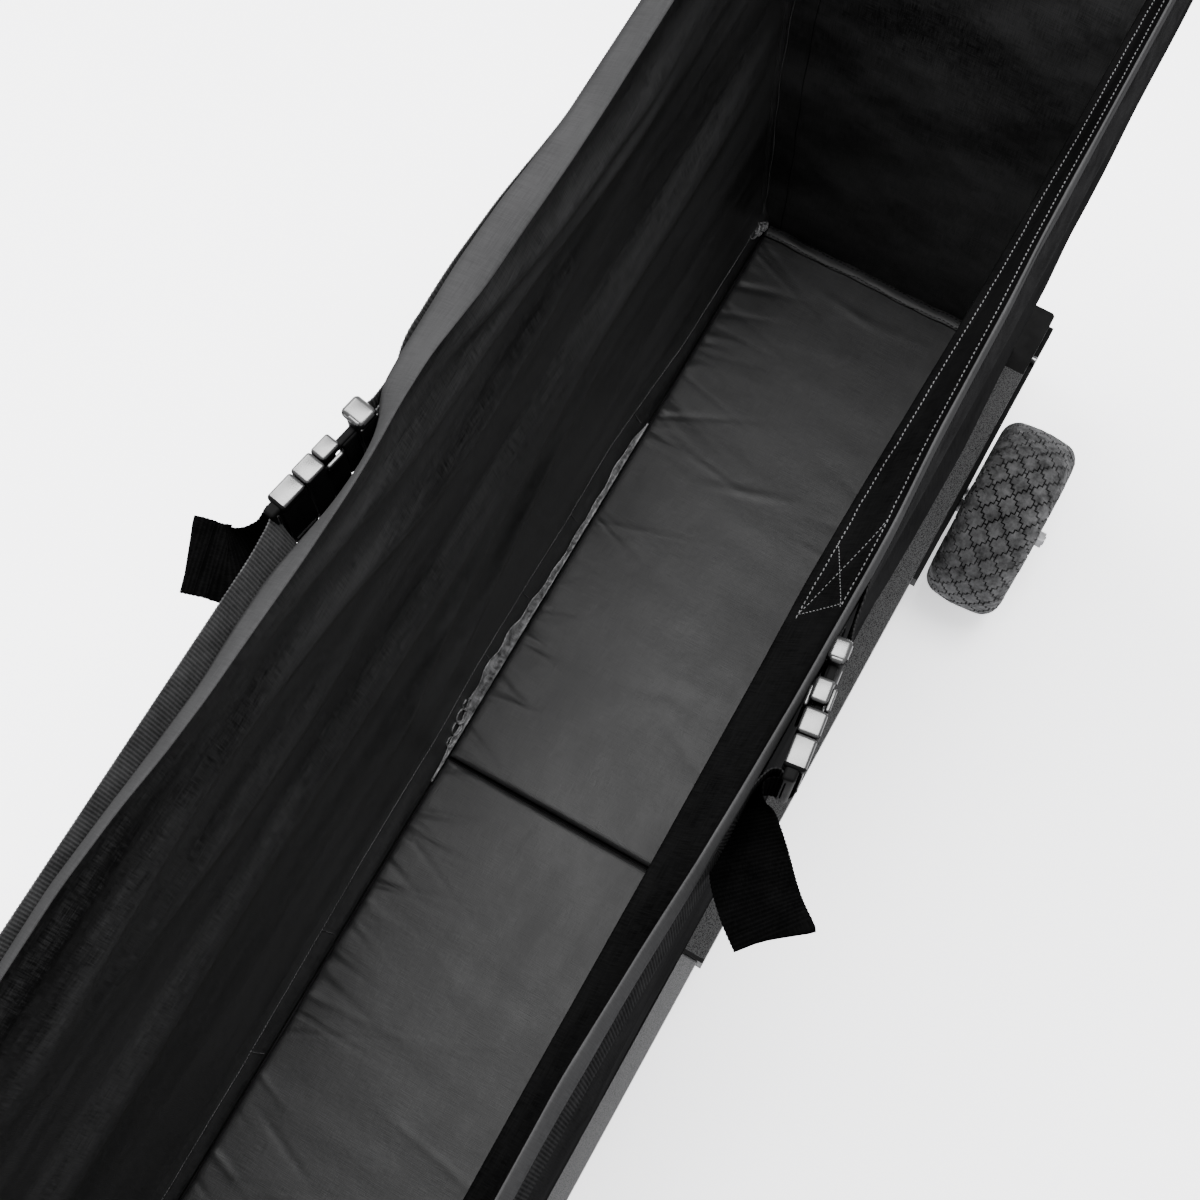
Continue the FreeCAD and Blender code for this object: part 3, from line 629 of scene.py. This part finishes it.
lining = shell("bag_lining", lining_profile, LINING_ROWS, inner_relief, lining_end, CLOTH_IN, 0.5)
outer = shell("bag_outer", outer_profile, 130, outer_relief, outer_end, CLOTH_OUT, 0.7)
shade_band(lining)
for piece in (lining, outer):
    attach(piece, "chassis")
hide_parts("bag_side_left", "bag_side_right", "bag_end_front", "bag_end_rear")


# ---- rim hem ----

def hem_side(word, side):
    """The turned-over top edge: a folded strip from its base seam up to the rim."""
    x = np.linspace(-HALF - 13, HALF + 13, 330)
    top_y, top_z, base_y, base_z = hem_line(word, x)
    puff = 1.6 + 0.35 * ripple(x, 0 * x, 31 + side, 90)
    bow = 1.3 if word == "left" else 0.4
    edge = [(0.0, 1.0), (0.3, 1.15), (0.6, 1.1), (0.85, 1.05), (0.95, 0.8), (1.0, 0.35)]
    loop = edge + [(share, -half) for share, half in reversed(edge)]
    rings, uv = [], []
    for k in range(len(x)):
        low = np.array([base_y[k] + 0.4, base_z[k] - 0.5])
        high = np.array([top_y[k], top_z[k]])
        rise = unit(high - low)
        out = np.array([rise[1], -rise[0]])
        length = np.linalg.norm(high - low)
        ring = []
        for share, half in loop:
            middle = low + rise * length * share + out * bow * math.sin(math.pi * share)
            y, z = middle + out * half * puff[k] * 0.75
            ring.append((x[k], side * y, z))
        rings.append(ring)
        uv += [(x[k] * MM, (share * length + 3 * np.sign(half)) * MM) for share, half in loop]
    return rings, uv


def hem_end(sign):
    """The same strip across an end wall."""
    left, right = (hem_line(side, np.array([sign * HALF]))[0][0] for side in ("left", "right"))
    edge = [(0, 1.2), (0.5, 1.5), (0.9, 1.1), (1, 0.4)]
    loop = edge + [(share, -half) for share, half in reversed(edge)]
    rings, uv = [], []
    for place in np.linspace(-right, left, 60):
        lean = 2.0 + 0.6 * math.sin(place / 40)
        section = []
        for share, half in loop:
            x = HALF + 11.0 - lean * 4 * share + half
            section.append((sign * x, place, RIM - HEM_WIDE * (1 - share)))
            uv.append((place * MM, share * HEM_WIDE * MM))
        rings.append(section)
    return rings, uv


# the right hem takes the lighter copy of the hem cloth: painted light
for word, (rings, uv), cloth in (("left", hem_side("left", 1), CLOTH_HEM),
                                 ("right", hem_side("right", -1), HEM_PAINTED_LIGHT),
                                 ("rear", hem_end(1), CLOTH_HEM),
                                 ("front", hem_end(-1), CLOTH_HEM)):
    piece = loft("hem_strip_" + word, rings, cloth, uv)
    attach(piece, "chassis")
    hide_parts("hem_" + word)


# ---- floor panels ----

def floor_panel(word, sign):
    """A stiffened panel in a cloth cover, puckered along its edges."""
    source = np.random.default_rng(40 + sign)
    length, half, deep = 661.0, 141.0, 11.4
    start = 1.9  # half the gap at the middle fold
    x = np.concatenate([[0, 0.8, 2.2], np.linspace(4, length - 4, 240), [length - 2, length]])
    y = np.concatenate([[-half, -half + 0.8, -half + 2.2], np.linspace(-half + 4, half - 4, 104),
                        [half - 2.2, half - 0.8, half]])
    gx, gy = np.meshgrid(x, y, indexing="ij")
    edge = np.minimum(np.minimum(gx, length - gx), half - np.abs(gy))
    top = -3.2 * np.exp(-edge / 1.6) + 0.45 * ripple(gx * 1.6, gy * 0.5, 50 + sign, 150)
    top = top + 0.30 * ripple(gx * 2.2, gy * 0.4, 55 + sign, 100) * np.clip(edge / 30, 0, 1)
    slump = np.clip(ripple(gx, 0 * gx, 58 + sign, 170) + 0.2, 0, 1)
    top = top - 2.2 * slump * np.exp(-((half - gy) / 26) ** 2)
    for _ in range(90):
        side = 1 if source.uniform() < 0.8 else -1
        place = source.uniform(6, length - 6)
        reach = source.uniform(8, 36)
        width = source.uniform(1.4, 4.2)
        height = source.uniform(-1.5, 1.0) * (1.6 if side > 0 else 1.0)
        bend = source.uniform(-0.5, 0.5)
        inward = half - side * gy
        top = top + height * np.exp(-((gx - place - bend * inward) / width) ** 2) \
            * np.exp(-inward / reach)
    for _ in range(14):
        place, level = source.uniform(20, length - 20), source.uniform(-half, half)
        turn = source.uniform(-0.5, 0.5)
        across = (gx - place) * math.cos(turn) + (gy - level) * math.sin(turn)
        along = (gy - level) * math.cos(turn) - (gx - place) * math.sin(turn)
        top = top + source.uniform(-0.7, 0.7) * np.exp(-(across / source.uniform(3, 8)) ** 2) \
            * np.exp(-(along / source.uniform(20, 60)) ** 2)
    wave = 0.8 * ripple(gx, 0 * gx, 60 + sign, 90) * (np.abs(gy) > half - 3) * np.sign(gy)
    px = sign * (start + gx)
    upper = np.stack([px, gy - wave * 0.6, FLOOR - 0.4 + np.minimum(top, 1.2)], 2)
    lower = np.stack([px, gy, np.full_like(gx, FLOOR - deep)], 2)
    rows, columns = gx.shape
    count = rows * columns
    faces = grid_faces(rows, columns)
    faces += [tuple(count + k for k in reversed(face)) for face in faces]
    index = np.arange(count).reshape(rows, columns)
    border = np.concatenate([index[:, 0], index[-1, 1:], index[-2::-1, -1],
                             index[0, -2:0:-1]]).tolist()
    faces += [(b, count + b, count + a, a) for a, b in zip(border, border[1:] + border[:1])]
    if sign < 0:
        faces = [tuple(reversed(face)) for face in faces]
    points = np.vstack([upper.reshape(-1, 3), lower.reshape(-1, 3)])
    uv = np.vstack([np.stack([gx, gy], 2).reshape(-1, 2)] * 2) * MM
    panel = mesh_object("floor_pad_" + word, points, faces, CLOTH_FLOOR, uv)
    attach(panel, "floor_" + word)
    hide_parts("floor_panel_" + word)


def floor_binding():
    """The sewn strip across the floor's far edge, with two rows of dark stitches."""
    y = np.linspace(-140, 140, 141)
    rings, uv = [], []
    for place in y:
        wave = 0.9 * math.sin(place / 17) + 0.6 * math.sin(place / 6.1 + 1)
        section = []
        for x, z in ((649.0, 0.2), (650, 1.5), (656, 2.3), (662, 1.6), (663.2, 0.2),
                     (662, -0.6), (656, -0.6), (650, -0.6)):
            section.append((x + wave * 0.5, place, FLOOR + 0.3 + z + 0.25 * wave))
            uv.append((place * MM, x * MM))
        rings.append(section)
    strip = loft("floor_binding", rings, CLOTH_FLOOR, uv)
    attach(strip, "floor_rear")
    for number, (x, swing) in enumerate(((651.0, 1.3), (660.4, 0.6))):
        wander = swing * np.sin(y / 15 + number) + 0.5 * np.sin(y / 4)
        path = np.stack([x + wander, y, np.full_like(y, FLOOR + 2.35)], 1)
        stitch_run("floor_stitches_%d" % number, path, np.tile([0, 0, 1.0], (len(y), 1)), 5.0,
                   3.6, 0.5, 0.15, THREAD_DARK, "floor_rear")


def crumpled_binding():
    """The loose bound edge between the left wall's foot and the floor, with stray loops of it."""
    x = np.arange(-30.0, 400.0, 1.2)
    reach = table((-30, 0.06), (0, 0.2), (10, 0.35), (35, 0.45), (60, 0.80), (85, 0.95),
                  (115, 0.9), (150, 0.75), (176, 0.55), (228, 0.34), (313, 0.36), (345, 0.5),
                  (372, 0.4), (392, 0.1), (400, 0.05))(x)
    share = np.linspace(0, 1, 15)
    path = np.array([(141.8, 177.4), (143.8, 178.2), (146.0, 186.0), (149.6, 198.5),
                     (151.0, 203.5)])
    nearest = 141.7  # keeps clear of the folding panels
    run = distances(path)
    points, uv = [], []
    for k, place in enumerate(x):
        length = run[-1] * np.clip(reach[k] * (1 + 0.12 * math.sin(place / 6.5)), 0.05, 1)
        spots = share * length
        y = np.interp(spots, run, path[:, 0])
        z = np.interp(spots, run, path[:, 1])
        crease = 1.3 * ripple(place, spots * 0.8, 91, 20, 6) \
            + 1.2 * ripple(place, spots * 0.3, 92, 8, 5)
        lift = 0.9 + np.maximum(crease, -0.6) * np.sin(math.pi * share) ** 0.5
        points += zip(place + 0.8 * np.sin(spots / 3), np.maximum(y - lift, nearest),
                      z + 0.3 + 0.4 * lift)
        uv += [(place * MM, down * MM) for down in spots]
    strip = mesh_object("floor_edge_binding", points, grid_faces(len(x), len(share)), CLOTH_TRIM,
                        uv)
    thickened(strip, 0.5)
    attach(strip, "chassis")
    # x, |y|, z and size of each loop
    knots = ((12, 146.6, 184, 5), (26, 147.2, 188, 7), (38, 148.0, 193, 8), (50, 149, 197, 6),
             (641, 150.0, 192, 9), (648, 147, 186, 7), (655, 144.6, 183, 5))
    for number, (place, y, z, size) in enumerate(knots):
        ring = [(place + size * math.cos(a), y + 0.4 * size * math.sin(a),
                 z + 0.8 * size * math.sin(a), 0.2 * math.cos(a), -0.7, 0.7)
                for a in np.linspace(0.4 * number, 0.4 * number + 5.2, 7)]
        loop = webbing("binding_loop_%d" % number, ring, 6.0, 0.8, 0.8, CLOTH_TRIM)
        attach(loop, "chassis")


floor_panel("rear", 1)
floor_panel("front", -1)
floor_binding()
crumpled_binding()


# ---- stitching on the lining ----

def surface_point(word, x, height):
    """Points just inside the lining's inner face at their heights, with their normals."""
    side = dict(SIDES)[word]
    lift = 0.5
    places = np.atleast_1d(np.asarray(x, float))
    z, y, _ = rows_from(lining_profile, word, np.linspace(-1, 1, COLUMNS) * HALF, LINING_ROWS)
    spots, normals = [], []
    for place, level in zip(places, np.broadcast_to(height, places.shape)):
        k = int(round((place / HALF + 1) / 2 * (COLUMNS - 1)))
        order = np.argsort(z[:, k])
        levels = np.array([level - 2, level, level + 2])
        depth = np.interp(levels, z[order, k], y[order, k]) - inner_relief(word, place, levels)
        slope = (depth[2] - depth[0]) / 4
        normal = unit(np.array([0, -side, slope]))
        spots.append(np.array([place, side * depth[1], level]) + normal * lift)
        normals.append(normal)
    return np.array(spots), np.array(normals)


def lining_stitches():
    """The band's two rows, the strap's crossed box, and the seams of walls and corners."""
    x = np.linspace(76, 650, 150)
    for name, level, reach in (("upper", 882.0, 84), ("lower", 846.5, 74)):
        places = x + (reach - x[0]) * (650 - x) / (650 - x[0])
        wander = 1.2 * ripple(places, 0 * x, 70, 90) + 0.5 * ripple(places, 0 * x, 71, 25)
        stitch_run("band_stitches_" + name, *surface_point("right", places, level + wander),
                   3.6, 2.5, 0.40, 0.2)
    box = (((130, 846.5), (82, 881)), ((146, 881), (78, 847)), ((76, 847), (84, 881)))
    for number, (start, end) in enumerate(box):
        x, z = (a + (b - a) * np.linspace(0, 1, 24) for a, b in zip(start, end))
        stitch_run("box_stitches_%d" % number, *surface_point("right", x, z), 3.3, 2.1, 0.30)
    seam = table((655, 192), (596, 194), (482, 198), (395, 214), (343, 224), (255, 220),
                 (174, 224), (77, 224), (14, 217), (-124, 216), (-256, 208), (-343, 204),
                 (-655, 200))
    x = np.linspace(-650, 650, 330)
    height = seam(x) + 0.8 * ripple(x, 0 * x, 75, 50)
    stitch_run("wall_seam_stitches", *surface_point("left", x, height), 3.6, 3.0, 0.4, 0.12)
    for number, place in enumerate((389, 262, 168, 96, -205, -330)):
        w = np.linspace(0, 1, 6)
        stitch_run("wall_cross_stitch_%d" % number,
                   *surface_point("left", place + 4 * w, seam(place) - 26 * w), 3.0, 3.0, 0.4)
    rise = np.linspace(180, 870, 200)
    rows = ((149.5, 1.6, 3.4, THREAD), (128.0, 0.8, 1.2, THREAD_DARK))
    for number, (y, swing, inward, thread) in enumerate(rows):
        wander = swing * np.sin(rise / 60) + 0.5 * np.sin(rise / 14)
        path = np.stack([lining_end(rise) - inward, y + wander, rise], 1)
        stitch_run("corner_stitches_%d" % number, path, np.tile([-1.0, 0, 0], (len(rise), 1)),
                   4.0, 3.0, 0.4, 0.2, thread)


lining_stitches()


# ---- compression strap ----

UP = (0.0, 0.0, 1.0)
STRAP_Z = 861.0  # height of the buckles' middle
# the right side's straps take the darker webbing: painted shade
SIDE_WEB = {"left": WEB, "right": WEB_SHADE}


def buckle_frame(word, side):
    """Where the buckle starts, and its axes along it and out from the wall."""
    x, y, degrees = {"left": (50.0, 167.8, 10.5), "right": (61.0, -163.6, 7.0)}[word]
    lean = math.radians(degrees)
    along = Vector((-math.cos(lean), side * math.sin(lean), 0))
    out = Vector((math.sin(lean), side * math.cos(lean), 0))
    return Vector((x, y, STRAP_Z)), along, out


def buckle_knots(place, *spots):
    """Upright knots of webbing at (length, outward) places on the buckle."""
    origin, along, out = place
    return [(*(origin + along * length + out * outward), *UP) for length, outward in spots]


def wall_knot(word, side, x):
    """A place on the strap where it lies on the wall just under the hem, with its lean."""
    _, _, base_y, base_z = (float(q[0]) for q in hem_line(word, np.array([float(x)])))
    low = web_right(x) - 1.0 if word == "right" else 165.5
    stand = 1.2 if word == "right" else 1.4 + 2.4 * np.clip((260 - x) / 120, 0, 1)
    wide = 49.0
    upper = np.array([base_y + stand, base_z - 0.5])
    lean = unit(np.array([low - upper[0], -wide]))
    middle = upper + lean * wide / 2
    return x, side * middle[0], middle[1], 0, -side * lean[0], -lean[1]


def sewn_webbing(name, knots, material=WEB):
    """A run of webbing that stays on the bag."""
    piece = webbing("webbing_" + name, knots, material=material)
    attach(piece, "chassis")
    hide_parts("strap_" + name)


def sewn_strap(word, side):
    """From the far corner to the buckle, looped round the buckle's bar and sewn back."""
    place = buckle_frame(word, side)
    leaves_wall = 110
    knots = [wall_knot(word, side, x) for x in np.linspace(HALF + 8, leaves_wall, 40)]
    last = knots[-1]
    for x in (90, 76):
        blend = (leaves_wall - x) / 60
        knots.append((x, last[1] * (1 - blend) + side * 168 * blend, STRAP_Z, *UP))
    knots += buckle_knots(place, (-8, 3.2), (0, 4.4), (5, 4.2), (8.2, 2.2), (8.8, 0),
                          (8.2, -2.2), (5, -4.2), (0, -4.0), (-10, -2.6))
    sewn_webbing("rear_" + word, knots, SIDE_WEB[word])


def free_strap(word, side):
    """From the near corner to the buckle's adjusting bar."""
    place = buckle_frame(word, side)
    if word == "right":
        knots = [wall_knot(word, side, x) for x in np.linspace(-655, -85, 30)]
        knots += [(-62, -157.4, 860.5, 0, 0.05, 1), (-44, -157.6, 861, 0, 0, 1),
                  (-31, -161.5, 861, 0, 0, 1), (-27.5, -167, 861, 0, 0, 1)]
    else:
        line = ((-655, 165, 858), (-600, 168, 859), (-500, 172, 860), (-400, 173, 861),
                (-229, 172.5, 861.5), (-110, 172, 861.5), (-72, 172, 861.5), (-52, 173.5, 861.5))
        knots = [(x, y, z, 0, 0.32, 0.95) for x, y, z in line]
        knots.append((-40, 178.5, 861, 0, 0.20, 1))
    knots += buckle_knots(place, (90, -4.2), (84.5, -2.5), (83.5, 0), (84.5, 2.5))
    piece = webbing("webbing_front_" + word, knots, material=SIDE_WEB[word])
    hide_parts("strap_front_" + word)
    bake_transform(piece)


TAILS = {
    "left": [(-52, 187.5, 861, 0.40, 0.1, 0.9), (-66, 189, 862, 0.72, 0.34, 0.6),
             (-76, 195, 865, 0.82, 0.50, 0.25), (-79.8, 204, 868, 0.84, 0.54, 0.03),
             (-82, 211, 869, 0.87, 0.49, 0.03), (-84, 218, 869.5, 0.90, 0.43, 0.05)],
    "right": [(-31.5, -175, 861, 0, 0, 1), (-33, -168, 861, 0, 0, 1),
              (-36, -163.6, 861, 0, 0, 1), (-42, -161.6, 860.5, 0.10, -0.12, 0.99),
              (-52, -161.5, 860, 0.34, -0.36, 0.87), (-64, -166, 860.5, 0.48, -0.54, 0.70),
              (-78, -174, 862, 0.56, -0.70, 0.42), (-91.5, -184.5, 864, 0.59, -0.79, 0.15),
              (-104, -197, 866, 0.60, -0.80, 0.03), (-114, -209.7, 867, 0.62, -0.79, 0.0)],
}


def tail(word, side):
    """The webbing's free end, which turns flat and stands out from the strap. Its near-black
    webbing is painted shade.
    """
    rest = TAILS[word]
    start = buckle_knots(buckle_frame(word, side), (84.6, 4.4), (90, 4.6))
    piece = webbing("webbing_tail_" + word, start + rest, material=WEB_TAIL_SHADE)
    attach(piece, "strap_" + word)
    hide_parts("strap_tail_" + word)
    end = np.array(rest[-1][:3])
    across = rest[-1][3:]
    tip = unit(end - np.array(rest[-2][:3]))
    fold = [tuple(end + tip * s + np.array([0, 0, lift])) + tuple(across)
            for s, lift in ((-9, 1.7), (-4, 2.1), (0.6, 1.6), (1.4, 0.2), (0.8, -0.9))]
    turned = webbing("webbing_tail_fold_" + word, fold, 49.4, 1.5, 0.8, WEB_TAIL_SHADE)
    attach(turned, "strap_" + word)


def end_strap(word, sign):
    """Round an end of the bag, between the two long straps' sewn ends."""
    y_left = 163.0 if sign < 0 else 166.0
    spots = [(4, y_left + 1.5), (13, y_left - 3), (15.6, y_left - 12)]
    spots += [(16, y) for y in np.linspace(130, -130, 9)]
    spots += [(15.6, -147), (13, -156), (4, -161)]
    knots = [(sign * (HALF + out), y, 857, *UP) for out, y in spots]
    sewn_webbing("end_" + word, knots)


for word, side in SIDES:
    sewn_strap(word, side)
    free_strap(word, side)
    tail(word, side)
end_strap("rear", 1)
end_strap("front", -1)


# ---- buckles ----

def rounded(parts, low, high, radius=1.5, segments=3):
    """A box with rounded edges, added to a bmesh."""
    made = bmesh.ops.create_cube(parts, size=1.0)
    low, high = np.asarray(low, float), np.asarray(high, float)
    size, middle = high - low, (high + low) / 2
    for vertex in made["verts"]:
        vertex.co = Vector([middle[k] + vertex.co[k] * size[k] for k in range(3)])
    edges = list({edge for vertex in made["verts"] for edge in vertex.link_edges})
    radius = min(radius, 0.49 * size.min())
    bmesh.ops.bevel(parts, geom=edges, offset=radius, segments=segments, profile=0.5,
                    affect="EDGES")


def buckle_half(name, parts, matrix, body, node):
    """Closes a bmesh built in millimetres into half a buckle.

    The edges that face up or down get a lighter, glossier copy of the plastic, a painted
    highlight; the rest get a near-black matte copy, painted shade.
    """
    edge_from, bar_from, level = 24.0, 84, 0.55
    for face in parts.faces:
        middle = face.calc_center_median()
        painted_lit = abs(middle.z) > edge_from and abs(face.normal.z) > level \
            and middle.x < bar_from
        face.material_index = 0 if painted_lit else 1
    bmesh.ops.transform(parts, matrix=matrix, verts=parts.verts)
    bmesh.ops.scale(parts, vec=(MM, MM, MM), verts=parts.verts)
    mesh = bpy.data.meshes.new(name)
    parts.to_mesh(mesh)
    parts.free()
    for material in (BUCKLE, BUCKLE_DARK):
        mesh.materials.append(material)
    mesh.polygons.foreach_set("use_smooth", [True] * len(mesh.polygons))
    piece = linked(name, mesh)
    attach(piece, body)
    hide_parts(node)


def buckle(word, side):
    """Both halves, built along X with Y out from the wall and Z up."""
    origin, along, out = buckle_frame(word, side)
    turn = Matrix((along, out, Vector(UP))).transposed().to_4x4()
    place = Matrix.Translation(origin) @ turn

    # how far the ear stands out, and how far the socket's bars sit inward and towards the prongs
    proud, shift, ahead = {"left": (11.5, 0.0, 0.0), "right": (6.5, -3.0, 3.5)}[word]
    male = bmesh.new()
    for low, high in (((0, -5.5, -32), (5.4, 5.5, 32)), ((10.6, -5.5, -32), (16, 5.5, 32)),
                      ((-1.5, -7.5, 23.5), (15, proud, 32)),
                      ((-1.5, -7.5, -32), (15, proud, -23.5)), ((-1.5, -7.0, -25), (15, -5, 25))):
        rounded(male, low, high, 3.6, 4)
    rounded(male, (13, -4, -24), (29, 3, 22), 1.5)
    rounded(male, (24, -2.4, -5), (68, 2.4, 5), 1.2)
    for sign in (1, -1):
        rounded(male, (15, -2.6, sign * 21.5 - 2.5), (62, 2.6, sign * 21.5 + 2.5), 1.2)
        ends = sorted((sign * 22.5, sign * 29))
        rounded(male, (33, -9.5, ends[0]), (47, -6.6, ends[1]), 1.4, 4)
    buckle_half("buckle_prongs_" + word, male, place, "chassis", "buckle_male_" + word)

    female = bmesh.new()
    blocks = [((30.5 - ahead, shift - 4.4, z), (46.5 - ahead, shift + 7.4, z + 7))
              for z in (25, -32)]
    blocks += [((30.5, 4.2, -30), (46.5, 7.4, 30)), ((30.0, -6.2, -30), (87.0, -4.2, 22.5)),
               ((47.1, -7.4, -32), (64.4, 7.6, 32)), ((65.0, -7.2, 24), (86.5, 7.2, 32)),
               ((65.0, -7.2, -32), (86.5, 7.2, -24)), ((65.0, -6.3, -26), (77.0, 6.3, 26)),
               ((85.0, -5.0, -30.0), (94.5, 3.6, 30.0))]
    for low, high in blocks:
        rounded(female, low, high, 2.2 if high[0] - low[0] > 5 else 0.8, 4)
    buckle_half("buckle_socket_" + word, female, place, "strap_" + word,
                "buckle_female_" + word)


for word, side in SIDES:
    buckle(word, side)


# ---- tyres ----

AXLE = (517.0, 101.5)
TYRE_R, TYRE_WIDE, TYRE_IN = 101.5, 83.2, 176.4
BLOCK_HIGH = 3.0


def tyre_curve(s):
    """Radius, across position and tilt at arc distance s from the tread's middle line."""
    crown, flat, shoulder = 150.0, 24.0, 17.0
    if abs(s) <= flat:
        return -s * s / (2 * crown), s, 0.0
    sign = 1 if s > 0 else -1
    fall = -flat * flat / (2 * crown)
    tilt = flat / crown
    angle = min((abs(s) - flat) / shoulder, math.pi / 2 - tilt + 0.35)
    radius = fall - shoulder * (math.cos(tilt) - math.cos(tilt + angle))
    across = flat + shoulder * (math.sin(tilt + angle) - math.sin(tilt))
    extra = max(0.0, abs(s) - flat - shoulder * angle)
    return radius - extra, sign * min(across, TYRE_WIDE / 2), sign * (tilt + angle)


def round_axle(radius, y, turn):
    return AXLE[0] + radius * math.sin(turn), y, AXLE[1] + radius * math.cos(turn)


def on_tyre(middle, s, turn, lift):
    drop, across, tilt = tyre_curve(s)
    radius = TYRE_R - BLOCK_HIGH + drop + lift * math.cos(tilt)
    return round_axle(radius, middle + across + lift * math.sin(tilt), turn)


def tyre_casing(word, middle):
    """The casing between the blocks, closed round the hub's rim. Its darker rubber is painted
    shade in the grooves.
    """
    rings = []
    for turn in np.linspace(0, 2 * math.pi, 145)[:-1]:
        section = [on_tyre(middle, s, turn, 0.0) for s in np.linspace(-54, 54, 40)]
        section += [round_axle(radius, middle + share * TYRE_WIDE, turn)
                    for radius, share in ((64, 0.46), (62.2, 0.40), (62.2, -0.40), (64, -0.46))]
        rings.append(section)
    rings = np.array(rings)
    carcass = mesh_object("tyre_casing_" + word, rings.reshape(-1, 3),
                          grid_faces(*rings.shape[:2], wrap=True, closed=True), TYRE_GROOVE_SHADE)
    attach(carcass, "wheel_" + word)
    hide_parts("tyre_" + word)


def tyre_tread(word, middle):
    """Separate stepped diamond blocks in staggered rows."""
    around, half_wide, gap = 48, 11.45, 0.5
    pitch = 2 * math.pi / around
    across_step, round_step = half_wide / 3, TYRE_R * pitch / 3
    quarter = [(a * across_step - gap, b * round_step - gap)
               for a, b in ((0.5, 3), (0.5, 2), (1.5, 2), (1.5, 1), (2.5, 1))]
    outline = [(a, -b) for a, b in quarter] + [(a, b) for a, b in reversed(quarter)] \
        + [(-a, b) for a, b in quarter] + [(-a, -b) for a, b in reversed(quarter)]
    size = len(outline)
    block_faces = grid_faces(3, size, wrap=True) \
        + [(2 * size + j, 2 * size + (j + 1) % size, 3 * size) for j in range(size)]
    source = np.random.default_rng(81)
    points, faces = [], []
    for row in range(-4, 5):
        for column in range(around):
            if (row + column) % 2:
                continue
            s, turn = row * half_wide, column * pitch
            top = BLOCK_HIGH + source.uniform(-0.25, 0.25)
            lean = source.uniform(-0.03, 0.03)
            faces += shifted(block_faces, len(points))
            for scale, lift in ((1.0, -0.4), (0.985, 2.3), (0.93, top)):
                points += [on_tyre(middle, s + a * scale, turn + b * scale / TYRE_R,
                                   lift + lean * a) for a, b in outline]
            points.append(on_tyre(middle, s, turn, top))
    tread = mesh_object("tyre_tread_" + word, points, faces, TYRE, smooth=False)
    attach(tread, "wheel_" + word)


for word, side in SIDES:
    middle = side * (TYRE_IN + TYRE_WIDE / 2)
    tyre_casing(word, middle)
    tyre_tread(word, middle)


# ---- finishes of the CAD nodes ----

FINISHES = {
    "frame_paint": PAINT, "inner_paint": PAINT_IN, "end_cap": SMOOTH, "bright_steel": ZINC,
    "caster_steel": ZINC, "hub_plastic": HUB, "tyre_rubber": TYRE, "caster_rubber": TYRE,
    "grip_foam": FOAM, "knob_plastic": SMOOTH, "bag_fabric": CLOTH_OUT, "hem_tape": CLOTH_HEM,
    "floor_fabric": CLOTH_FLOOR, "webbing": WEB, "buckle_plastic": BUCKLE,
}
for part in frame["record"]["subparts"]:
    made = frame["nodes"][part["node"]]
    # the axle brackets take the near-black smooth finish instead of their own: painted shade
    # beside the rail
    dark = part["node"].startswith("axle_bracket")
    made.data.materials.clear()
    made.data.materials.append(SMOOTH if dark else FINISHES[part["material_slot"]])


# ---- floor, light and camera ----

def ground():
    """A pale studio floor, lit a little from within so that it stays near white. Its glow fades
    near the bag: a painted shadow.
    """
    material, tree = new_material("studio_floor")
    tone = noise(tree, spot(tree), 1.5, 2)
    near = add(tree, "AmbientOcclusion", {"Distance": 0.35}).outputs["AO"]
    pale = ramp(tree, tone, [(0.3, 0.88), (0.7, 0.92)])
    # weaker glow where things are close: painted shadow
    glow_with_painted_shadow = ramp(tree, near, [(0.05, 0.30), (0.85, 1.0)])
    finish_material(tree, pale, 0.9, None, 0.1,
                    **{"Emission Color": glow_with_painted_shadow, "Emission Strength": 2.0})
    reach = 9000
    corners = [(-reach, -reach, 0), (reach, -reach, 0), (reach, reach, 0), (-reach, reach, 0)]
    plane = mesh_object("studio_floor", corners, [(0, 1, 2, 3)], material)
    plane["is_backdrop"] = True


def softbox(name, place, target, size, power):
    data = bpy.data.lights.new(name, "AREA")
    data.shape = "RECTANGLE"
    data.size, data.size_y = size
    data.energy = power
    made = linked(name, data)
    made.location = place
    made.rotation_euler = (Vector(target) - Vector(place)).to_track_quat("-Z", "Y").to_euler()


ground()
softbox("overhead", (0.46, 0.15, 3.3), (0.1, 0, 0.4), (2.4, 1.3), 270)
softbox("side", (0.7, 2.0, 2.7), (0.1, 0, 0.5), (1.8, 1.4), 150)

world = bpy.data.worlds.new("studio")
world.use_nodes = True
sky = world.node_tree.nodes["Background"].inputs
sky["Color"].default_value = (1, 1, 1, 1)
sky["Strength"].default_value = 0.7
bpy.context.scene.world = world

lens = bpy.data.cameras.new("camera")
lens.sensor_width = 36
lens.lens = 58.35
camera = linked("camera", lens)
camera.location = (-0.307, -0.2017, 2.0173)
camera.rotation_euler = (math.radians(17.92), 0, math.radians(-60.49))
bpy.context.scene.camera = camera

both = {"cad": size_of_cad, "visual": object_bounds()}
{k: [[float(c) for c in corner] for corner in v] for k, v in both.items()}
